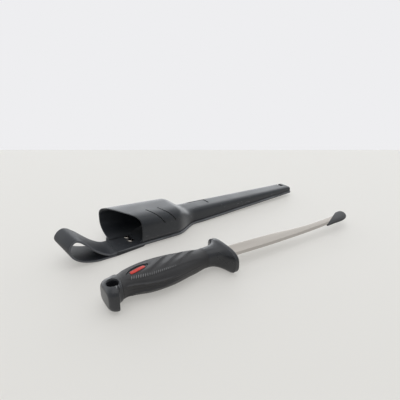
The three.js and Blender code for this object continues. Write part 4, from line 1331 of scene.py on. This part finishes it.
def slit_skin(x, width):
    """One slit from the shell's top down over its edge side, leaning to the tail."""
    rings = []
    for y in (SLIT_TOP_Y, -2 * SEAT_HALF):
        ring = []
        for side, z in ((-1, SLIT_LOW_Z), (1, SLIT_LOW_Z), (1, MOUTH_HEIGHT), (-1, MOUTH_HEIGHT)):
            lean = SLIT_LEAN_ACROSS * (SLIT_TOP_Y - y) + SLIT_LEAN_DOWN * (MOUTH_HEIGHT - z)
            ring.append((x + side * width / 2 + lean, y, z))
        rings.append(ring)
    return tube(rings)


def near(values, value):
    """The place in a list of numbers that is nearest to a value."""
    return int(np.argmin(np.abs(np.asarray(values) - value)))


def shell_skin(sizes):
    """The shell: its two faces and rounded rim, the foot, and the solid tail with its notch."""
    label_ys = label_lines(LABEL_LOW_Y, LABEL_HIGH_Y, sizes.label_groove)
    label_xs = label_lines(LABEL_FROM, LABEL_TO, sizes.label_groove)
    label_rows = [share_at_width((LABEL_FROM + LABEL_TO) / 2, y) for y in label_ys]
    notch_row = share_at_width((NOTCH_FROM + NOTCH_TO) / 2, notch_floor())
    shares = ladder(sorted([0, *label_rows, notch_row, 1]), ROW_SPACING)
    columns = ladder(sorted([
        RIM_END, SEAT_AT, SHOULDER_END, CHANNEL_AT, *label_xs, CAVITY_END, NOTCH_FROM, NOTCH_TO,
        SHEATH_END - sizes.tail_rounding,
    ]), sizes.spacing)
    sheet = ShellSheet(shares, sizes.wall)
    rim, lip = sheet.rim(), sizes.lip_rounding
    skin = Skin()

    def row(x, depth):
        """A line of points at x, that far below the outside."""
        return skin.line(sheet.read(x, depth / sizes.wall))

    def sunk(x):
        """How deep the label's line is sunk at x, in each row."""
        # Rows beside the place count as 1 m away
        y = np.interp(shares, label_rows, label_ys, left=-1, right=1)
        inside = np.minimum(LABEL_HIGH_Y - y, LABEL_TO - x)
        on_line = np.abs(inside / sizes.label_groove - 0.5) < LABEL_FLOOR_HALF
        return np.where(on_line & (y > LABEL_LOW_Y) & (x > LABEL_FROM), sizes.label_depth, 0)

    near_rim = [lerp(rim + lip, RIM_END, share) for share in np.linspace(0, 1, RIM_COLUMNS)[:-1]]
    outer = [row(x, 0) for x in near_rim] + [row(x, sunk(x)) for x in columns]
    inner = [row(x, sizes.wall) for x in (*near_rim, *columns[columns <= CAVITY_END + MARK_SLACK])]
    for inset, left in quarter_round(sizes.tail_rounding, TAIL_RINGS)[1:]:
        outer.append(row(SHEATH_END - left, inset))

    first, end, last = len(near_rim), len(inner) - 1, len(shares) - 1
    notch = [first + near(columns, x) for x in (NOTCH_FROM, NOTCH_TO)]
    notch_at = near(shares, notch_row)
    for c, (low, high) in enumerate(zip(outer, outer[1:])):
        kept = notch_at + 1 if notch[0] <= c < notch[1] else last + 1
        skin.band(low[:kept], high[:kept])
    for low, high in zip(inner, inner[1:]):
        skin.band(low, high)

    arc = quarter_round(lip, LIP_RINGS)[1:]
    lips = [outer[0], *(row(rim + left, inset) for inset, left in arc)]
    lips += [*(row(rim + left, sizes.wall - inset) for inset, left in reversed(arc)), inner[0]]
    for low, high in zip(lips, lips[1:]):
        skin.band(low, high)

    # The foot and the cavity's end
    for r in (0, last):
        skin.faces.append([line[r] for line in lips])
        skin.band([line[r] for line in outer[:end + 1]], [line[r] for line in inner])
    skin.faces.append(inner[end])

    # The solid tail's underside, notch and end
    floor_xs = columns[notch[0] - first:notch[1] - first + 1]
    floor = skin.line([(x, notch_floor(), SHELL_BASE + underside(x)) for x in floor_xs])
    skin.faces.append([
        outer[end][0], inner[end][0], inner[end][last], outer[end][last],
        outer[end + 1][last], outer[end + 1][0],
    ])
    for c in range(end + 1, len(outer) - 1):
        here, there = [outer[c][0], outer[c + 1][0]], [outer[c + 1][last], outer[c][last]]
        if notch[0] <= c < notch[1]:
            there = [floor[c + 1 - notch[0]], floor[c - notch[0]]]
        elif c + 1 == notch[0]:
            there = [floor[0], *there]
        elif c == notch[1]:
            there = [*there, floor[-1]]
        skin.faces.append(here + there)
    skin.band([line[notch_at] for line in outer[notch[0]:notch[1] + 1]], floor)
    for c, corner in zip(notch, (floor[0], floor[-1])):
        skin.faces.append([*outer[c][notch_at:], corner])
    skin.faces.append(outer[-1])
    return skin


class KNIFE_OT_sheath_shell(bpy.types.Operator):
    """Draws the sheath's shell: mouth, slits, label place, channel, and tail with its notch"""
    bl_idname = "knife.sheath_shell"
    bl_label = "Sheath shell"

    def execute(self, context):
        settings = context.scene.fillet_knife
        sizes = settings.sheath
        to_sheath = SHEATH.inverted()

        def in_shaded_label_line(face):
            """Whether a face lies below the shell's outside, within the label place, and so gets
            the painted shade.
            """
            x, y, z = to_sheath @ face.center
            if not (LABEL_FROM < x < LABEL_TO and LABEL_LOW_Y < y < LABEL_HIGH_Y):
                return False
            depth = np.interp(y, *shell_profile(x, 0).T) - z
            return LABEL_SHADE_FROM < depth / sizes.label_depth < LABEL_SHADE_TO

        made = drawn("sheath_shell", shell_skin(sizes), SHEATH)
        cut(made, SHEATH, *(slit_skin(x, sizes.slit_width) for x in SLITS_AT))
        shaded(made, sheath_polypropylene(settings.colours))
        # The label place's sunk line gets a near-black finish: painted shade
        repainted(made, label_line_painted_shade(settings.colours), in_shaded_label_line)
        fitted(made, "sheath", "sheath_plastic", "sheath_front")
        return {"FINISHED"}


# Back plate, and what the rivets go through
RIVETS_AT = [Vector((22, y)) * MM for y in (-4, -13.2)]
TAB_TOP = -0.3 * MM
SHANK_POINTS, WASHER_POINTS = 32, 40
PLATE_CORNER, PLATE_CORNER_RINGS = 4 * MM, 9
PLATE_SPACING = 2.5 * MM
# The faces along the lip that get the painted highlight, by how far up they look
HIGHLIT_STEEPEST, HIGHLIT_FLATTEST = 0.2, 0.96


def bores(radius, low, high, count):
    """Upright holes at the rivets' places, from low to high."""
    return [tube(turned([(radius, low), (radius, high)], place, count)) for place in RIVETS_AT]


def plate_ring(x, drawn_in, sizes, strap):
    """The plate's section at x: a lip past the shell, with a softened bevel on its upper edge."""
    feet = shell_profile(x, 0)
    tongue = np.clip(1 - x / strap.tab_length, 0, 1)
    edge = lerp(feet[0, 0] - sizes.plate_lip, STRAP_SPINE_SIDE - strap.width, tongue) + drawn_in
    spine = STRAP_SPINE_SIDE if x < RIM_START else feet[-1, 0] + sizes.plate_lip - drawn_in
    low, top = underside(x), underside(x) + sizes.plate_thickness
    bevel = lerp(sizes.plate_bevel, STRAP_EDGE_BREAK, tongue)
    slope = [(bevel * (1 - out), bevel * down) for out, down in BEVEL_STEPS]
    ring = [(spine, low), *((spine - inward, top - down) for inward, down in slope)]
    ring += [*((edge + inward, top - down) for inward, down in reversed(slope)), (edge, low)]
    return at_x(x, np.array(ring))


def notch_skin():
    """The tail's lashing notch, cut down through the plate."""
    floor, outside = notch_floor(), 4 * NOTCH_DEPTH
    corners = (floor, 0), (outside, 0), (outside, CHANNEL_HEIGHT), (floor, CHANNEL_HEIGHT)
    return tube([at_x(x, np.array(corners)) for x in (NOTCH_FROM, NOTCH_TO)])


class KNIFE_OT_back_plate(bpy.types.Operator):
    """Draws the sheath's flat back plate with its lip"""
    bl_idname = "knife.back_plate"
    bl_label = "Back plate"

    def execute(self, context):
        settings = context.scene.fillet_knife
        sizes, strap = settings.sheath, settings.strap
        marks = RIM_START, SEAT_AT, SHOULDER_END, CHANNEL_AT, SHEATH_END - PLATE_CORNER
        rings = [plate_ring(x, 0, sizes, strap) for x in (0, *ladder(marks, PLATE_SPACING))]
        for inset, left in quarter_round(PLATE_CORNER, PLATE_CORNER_RINGS)[1:]:
            rings.append(plate_ring(SHEATH_END - left, inset, sizes, strap))
        made = drawn("sheath_back_plate", tube(rings), SHEATH)
        shank = settings.rivets.shank / 2 + SEAT_GAP
        holes = bores(shank, -MM, sizes.plate_thickness + MM, SHANK_POINTS)
        cut(made, SHEATH, notch_skin(), *holes)
        shaded(made, sheath_polypropylene(settings.colours))

        # Painted highlight: the lip's upward-facing faces get a paler finish for the light on them
        def rubbed(face):
            """Whether a face lies on the lip's upward-sloping sides, and so gets the painted
            highlight.
            """
            return HIGHLIT_STEEPEST < face.normal.z < HIGHLIT_FLATTEST

        repainted(made, lip_painted_highlight_finish(settings.colours), rubbed)
        fitted(made, "sheath", "sheath_plastic", "sheath_back")
        return {"FINISHED"}


# Strap: the loop's route in shares of its reach and height
LOOP_REACH, LOOP_HEIGHT = 50.4 * MM, 27.4 * MM
LOOP_SPREAD = 0.1
LOOP_LIFT = 7 * MM
LOOP_ROUTE = np.array([
    (0.14, 0.04), (0.27, 0.14), (0.41, 0.32), (0.55, 0.57), (0.68, 0.82), (0.78, 0.965), (0.86, 1),
    (0.95, 0.9), (1, 0.67), (0.96, 0.42), (0.83, 0.18), (0.63, 0.02),
])
LOOP_FLAT = (0.41, 0.2)
LOOP_STEPS = 128
STRAP_CORNER_POINTS, TAB_CORNER_POINTS, TAB_EDGE_RINGS = 5, 7, 4
SHARPEST_MITRE = 0.6


def corner_arc(centre, radius, start, stop, count):
    """Points of a round corner in plan."""
    turns = np.radians(np.linspace(start, stop, count))
    return [(centre[0] + radius * np.cos(t), centre[1] + radius * np.sin(t)) for t in turns]


def inset_outline(outline, inset):
    """A plan outline drawn in by inset, each point along the mean of its two sides' normals."""
    ahead = np.roll(outline, -1, axis=0) - outline
    ahead /= np.linalg.norm(ahead, axis=1)[:, None]
    both = ahead + np.roll(ahead, 1, axis=0)
    normal = np.column_stack([-both[:, 1], both[:, 0]])
    side = np.column_stack([-ahead[:, 1], ahead[:, 0]])
    scale = np.maximum(np.sum(normal * side, axis=1), SHARPEST_MITRE)
    return outline + inset * normal / scale[:, None]


def slab(outline, low, high, rounding):
    """A plan outline, listed anticlockwise, raised from low to high with rounded edges."""
    levels = [(left, low + inset) for inset, left in quarter_round(rounding, TAB_EDGE_RINGS)]
    levels += [(inset, low + high - z) for inset, z in reversed(levels)]
    return tube([at_z(z, inset_outline(outline, inset)) for inset, z in levels])


def smooth_route(points, count):
    """A smooth curve through points, its knots spaced by the square roots of their distances."""
    ends = [2 * points[0] - points[1], *points, 2 * points[-1] - points[-2]]
    made = []
    for t in np.linspace(0, len(points) - 1, count):
        i = min(int(t), len(points) - 2)
        p = ends[i:i + 4]
        k = np.cumsum([0, *(np.linalg.norm(b - a) ** 0.5 for a, b in zip(p, p[1:]))])
        u = lerp(k[1], k[2], t - i)
        low = [lerp(p[j], p[j + 1], (u - k[j]) / (k[j + 1] - k[j])) for j in range(3)]
        mid = [lerp(low[j], low[j + 1], (u - k[j]) / (k[j + 2] - k[j])) for j in range(2)]
        made.append(lerp(mid[0], mid[1], (u - k[1]) / (k[2] - k[1])))
    return np.array(made)


def strap_line(sizes):
    """The strap's side line as (x, z): out from the plate, up over the belt and back below."""
    half = sizes.thickness / 2
    low = TAB_TOP - half
    out, up = LOOP_REACH - half, LOOP_HEIGHT - half
    flat = [(-x * out, low) for x in LOOP_FLAT]
    points = [(-SEAT_GAP, half), *(LOOP_ROUTE * (-out, up)), *flat, (-SEAT_GAP, low)]
    return smooth_route(np.array(points), LOOP_STEPS)


def strap_section(sizes):
    """The strap's rounded section as (out, across) points."""
    half, wide, rounding = sizes.thickness / 2, sizes.width / 2, sizes.rounding
    points = []
    for side, along_side, start in ((1, 1, 0), (1, -1, 270), (-1, -1, 180), (-1, 1, 90)):
        centre = side * (half - rounding), along_side * (wide - rounding)
        points += corner_arc(centre, rounding, start + 90, start, STRAP_CORNER_POINTS)
    return np.array(points)


def loop_rings(sizes, middle, bottom):
    """The strap's section along its line, spread and lifted as the loop goes out."""
    line = strap_line(sizes)
    way = np.gradient(line, axis=0)
    way /= np.linalg.norm(way, axis=1)[:, None]
    rings = []
    for (x, z), (way_x, way_z) in zip(line, way):
        ring = []
        for out, across in strap_section(sizes):
            px, pz = x - out * way_z, z + out * way_x
            far = np.clip(-px / LOOP_REACH, 0, 1)
            grown = 1 + LOOP_SPREAD * across / sizes.width * far
            tall = (pz - bottom) * grown
            below_top = np.clip(1 - tall / LOOP_HEIGHT, 0, 1)
            lift = LOOP_LIFT * (across / sizes.width + 0.5) * far * below_top
            ring.append((px * grown, middle + across, bottom + tall + lift))
        rings.append(ring)
    return rings


def tab_outline(sizes):
    """The tab in plan, with two round rear corners and its edge side drawn in."""
    low, high = STRAP_SPINE_SIDE - sizes.width, STRAP_SPINE_SIDE
    corner = sizes.tab_rounding
    rear = sizes.tab_length - corner
    return np.array([
        (0, low),
        *corner_arc((rear, low + sizes.tab_taper + corner), corner, -90, 0, TAB_CORNER_POINTS),
        *corner_arc((rear, high - corner), corner, 0, 90, TAB_CORNER_POINTS),
        (0, high),
    ])


class KNIFE_OT_strap(bpy.types.Operator):
    """Draws the belt strap: its loop in front of the mouth and its end under the plate"""
    bl_idname = "knife.strap"
    bl_label = "Belt strap"

    def execute(self, context):
        settings = context.scene.fillet_knife
        sizes, rivets = settings.strap, settings.rivets
        finish = strap_polypropylene(settings.colours)
        middle = STRAP_SPINE_SIDE - sizes.width / 2
        bottom = TAB_TOP - sizes.thickness
        to_sheath, side = SHEATH.inverted(), sizes.width / 2 - sizes.rounding / 2

        def on_highlit_side(face):
            """Whether a face lies on one of the strap's sides, which get the painted highlight."""
            return abs((to_sheath @ face.center).y - middle) > side

        skin = tube(loop_rings(sizes, middle, bottom))
        loop = shaded(drawn("belt_strap_loop", skin, SHEATH), finish)
        # The strap's sides get a pale finish: painted highlight
        repainted(loop, strap_side_painted_highlight(settings.colours), on_highlit_side)
        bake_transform(loop)
        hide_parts("belt_loop")

        skin = slab(tab_outline(sizes), bottom, TAB_TOP, sizes.rounding)
        tab = drawn("belt_strap_tab", skin, SHEATH)
        pocket_top = bottom + rivets.washer_thickness + 2 * SEAT_GAP
        pockets = bores(rivets.washer / 2 + SEAT_GAP, bottom - MM, pocket_top, WASHER_POINTS)
        holes = bores(rivets.shank / 2 + SEAT_GAP, bottom - MM, MM, SHANK_POINTS)
        cut(tab, SHEATH, *pockets, *holes)
        fitted(shaded(tab, finish), "sheath", "strap_plastic", "belt_tab")
        return {"FINISHED"}


# Rivets
RIVET_POINTS, DOME_RINGS = 40, 9
DOME_TURN = 1.54
RIVET_EDGE = 0.25 * MM


class KNIFE_OT_rivets(bpy.types.Operator):
    """Draws the domed rivets and their washers"""
    bl_idname = "knife.rivets"
    bl_label = "Rivets"

    def execute(self, context):
        settings = context.scene.fillet_knife
        sizes = settings.rivets
        finish = bright_rivet_steel(settings.colours)
        low = TAB_TOP - settings.strap.thickness + SEAT_GAP
        seat = settings.sheath.plate_thickness + SEAT_GAP
        shank, head, edge = sizes.shank / 2, sizes.head / 2, RIVET_EDGE
        rise = sizes.head_height - edge
        rivet = [(shank - edge, low), (shank, low + edge), (shank, seat), (head - edge, seat)]
        for a in np.linspace(0, DOME_TURN, DOME_RINGS):
            rivet.append((head * np.cos(a), seat + edge + rise * np.sin(a)))
        bore, rim, high = shank + SEAT_GAP, sizes.washer / 2, low + sizes.washer_thickness
        washer = [
            (bore, low), (rim - edge, low), (rim, low + edge),
            (rim, high - edge), (rim - edge, high), (bore, high),
        ]
        places = [(SHEATH @ Vector((*place, 0)), sheath_z, sheath_x, 1) for place in RIVETS_AT]
        for name, closed, profile, nodes in (
            ("rivets_domed", tube, rivet, ("rivet_1", "rivet_2")),
            ("rivet_washers_flat", hoop, washer, ("rivet_washer_1", "rivet_washer_2")),
        ):
            shape = drawn(name + "_shape", closed(turned(profile, (0, 0), RIVET_POINTS)), Matrix())
            made = row_of(name, shape, places, finish)
            fitted(shaded(made, finish), "sheath", "rivet_steel", *nodes)
        return {"FINISHED"}


# Stage
CAMERA_AT = Vector((-0.22577, -0.33072, 0.20704))
CAMERA_TURN, CAMERA_PITCH = radians(31.7), radians(22)
CAMERA_SENSOR, CAMERA_NEAREST = 36, 0.01
FORWARD = Vector((np.sin(CAMERA_TURN), np.cos(CAMERA_TURN), 0))
FLOOR_END = 0.78
FLOOR_SIZE = 4.0
LIGHT_AT = Vector((-0.1, -0.1, 1.2))
LIGHT_SIZE = 1.4
# The studio's light by direction: 1 is straight ahead of the camera, and for the wall straight up
GLOW_FROM, GLOW_FULL = 0.1, 0.8
WALL_TOP, WALL_FULL = 0.5, 0.3
SKY_FROM, SKY_FULL = -0.6, 0.5


def opal_acrylic(settings):
    """The opal sheet of a product table, lit from below: pale shadows and a peel of about 2 mm."""
    made, tree, shader, here = blank("opal_acrylic_lit_from_below")
    peel = add(tree, "ShaderNodeTexNoise", {"Vector": here, "Scale": per_length(2), "Detail": 2})
    bump = add(tree, "ShaderNodeBump", {"Height": peel, "Strength": 0.1, "Distance": 0.05 * MM})
    fill(tree, shader, {
        "Base Color": settings.floor, "Roughness": 0.6, "Normal": bump,
        "Emission Color": settings.floor, "Emission Strength": settings.floor_light,
    })
    return made


def studio_world(settings):
    """Soft light all round: stronger from behind the object, with a bright wall low behind it."""
    world = bpy.data.worlds.new("studio")
    world.use_nodes = True
    tree = world.node_tree
    tree.nodes.clear()
    ray = add(tree, "ShaderNodeLightPath").outputs["Is Camera Ray"]
    way = add(tree, "ShaderNodeTexCoord").outputs["Generated"]
    ahead = add(tree, "ShaderNodeVectorMath", {0: way, 1: FORWARD}, operation="DOT_PRODUCT")
    height = add(tree, "ShaderNodeSeparateXYZ", {0: way}).outputs["Z"]
    behind = add(tree, "ShaderNodeMapRange", {
        "Value": ahead, "From Min": GLOW_FROM, "From Max": GLOW_FULL, "To Max": settings.glow,
    }, interpolation_type="SMOOTHSTEP")
    low = add(tree, "ShaderNodeMapRange", {
        "Value": height, "From Min": WALL_TOP, "From Max": WALL_FULL,
    }, interpolation_type="SMOOTHSTEP")
    around = add(tree, "ShaderNodeMapRange", {
        "Value": ahead, "From Min": SKY_FROM, "From Max": SKY_FULL,
        "To Min": settings.fill, "To Max": settings.sky,
    })
    glow = add(tree, "ShaderNodeMath", {0: behind, 1: low}, operation="MULTIPLY")
    strength = add(tree, "ShaderNodeMath", {0: glow, 1: around}, operation="ADD")
    lit = add(tree, "ShaderNodeBackground", {"Color": settings.daylight, "Strength": strength})
    seen = add(tree, "ShaderNodeBackground", {"Color": settings.backdrop, "Strength": 1.0})
    mixed = add(tree, "ShaderNodeMixShader", {0: ray, 1: lit, 2: seen})
    add(tree, "ShaderNodeOutputWorld", {"Surface": mixed})
    return world


class KNIFE_OT_stage(bpy.types.Operator):
    """Sets up the pale floor, the soft light and the camera"""
    bl_idname = "knife.stage"
    bl_label = "Stage"

    def execute(self, context):
        scene = context.scene
        settings = scene.fillet_knife.stage
        right = Vector((FORWARD.y, -FORWARD.x, 0))
        foot = Vector((CAMERA_AT.x, CAMERA_AT.y, 0))
        reach = (
            (-FLOOR_SIZE, -FLOOR_SIZE), (-FLOOR_SIZE, FLOOR_SIZE),
            (FLOOR_END, FLOOR_SIZE), (FLOOR_END, -FLOOR_SIZE),
        )
        corners = [tuple(foot + FORWARD * f + right * r) for f, r in reach]
        mesh = bpy.data.meshes.new("floor")
        mesh.from_pydata(corners, [], [(0, 1, 2, 3)])
        mesh.materials.append(opal_acrylic(settings))
        placed("floor", mesh)

        lamp = bpy.data.lights.new("overhead", "AREA")
        lamp.shape = "SQUARE"
        lamp.size = LIGHT_SIZE
        lamp.energy = settings.light
        overhead = placed("overhead", lamp)
        overhead.location = LIGHT_AT
        overhead.rotation_euler = (-LIGHT_AT).to_track_quat("-Z", "Y").to_euler()
        scene.world = studio_world(settings)

        lens = bpy.data.cameras.new("camera")
        lens.sensor_width = CAMERA_SENSOR
        lens.lens = settings.lens
        lens.clip_start = CAMERA_NEAREST
        camera = placed("camera", lens)
        camera.location = CAMERA_AT
        camera.rotation_euler = (pi / 2 - CAMERA_PITCH, 0, -CAMERA_TURN)
        scene.camera = camera
        scene.view_settings.view_transform = "Standard"
        return {"FINISHED"}


class KNIFE_PT_panel(bpy.types.Panel):
    """Lists the pieces in the order in which they are drawn"""
    bl_idname = "KNIFE_PT_panel"
    bl_label = "Fillet Knife"
    bl_space_type = "VIEW_3D"
    bl_region_type = "UI"
    bl_category = "Knife"

    def draw(self, context):
        for operator in OPERATORS:
            self.layout.operator(operator.bl_idname)


SETTING_GROUPS = (
    FinishColours, BladeSizes, TipGuardSizes, HandleSizes, GripSizes, BadgeSizes, SheathSizes,
    StrapSizes, RivetSizes, StageSettings, KnifeSettings,
)
OPERATORS = (
    KNIFE_OT_stage, KNIFE_OT_blade, KNIFE_OT_tip_guard, KNIFE_OT_handle, KNIFE_OT_grip,
    KNIFE_OT_badge, KNIFE_OT_sheath_shell, KNIFE_OT_back_plate, KNIFE_OT_strap, KNIFE_OT_rivets,
)


def register():
    for kind in (*SETTING_GROUPS, *OPERATORS, KNIFE_PT_panel):
        bpy.utils.register_class(kind)
    bpy.types.Scene.fillet_knife = PointerProperty(type=KnifeSettings)


def unregister():
    del bpy.types.Scene.fillet_knife
    for kind in reversed((*SETTING_GROUPS, *OPERATORS, KNIFE_PT_panel)):
        bpy.utils.unregister_class(kind)


def main():
    """Draws every piece."""
    register()
    bpy.ops.knife.stage()
    bpy.ops.knife.blade()
    bpy.ops.knife.tip_guard()
    bpy.ops.knife.handle()
    bpy.ops.knife.grip()
    bpy.ops.knife.badge()
    bpy.ops.knife.sheath_shell()
    bpy.ops.knife.back_plate()
    bpy.ops.knife.strap()
    bpy.ops.knife.rivets()


if __name__ == "__main__":
    main()
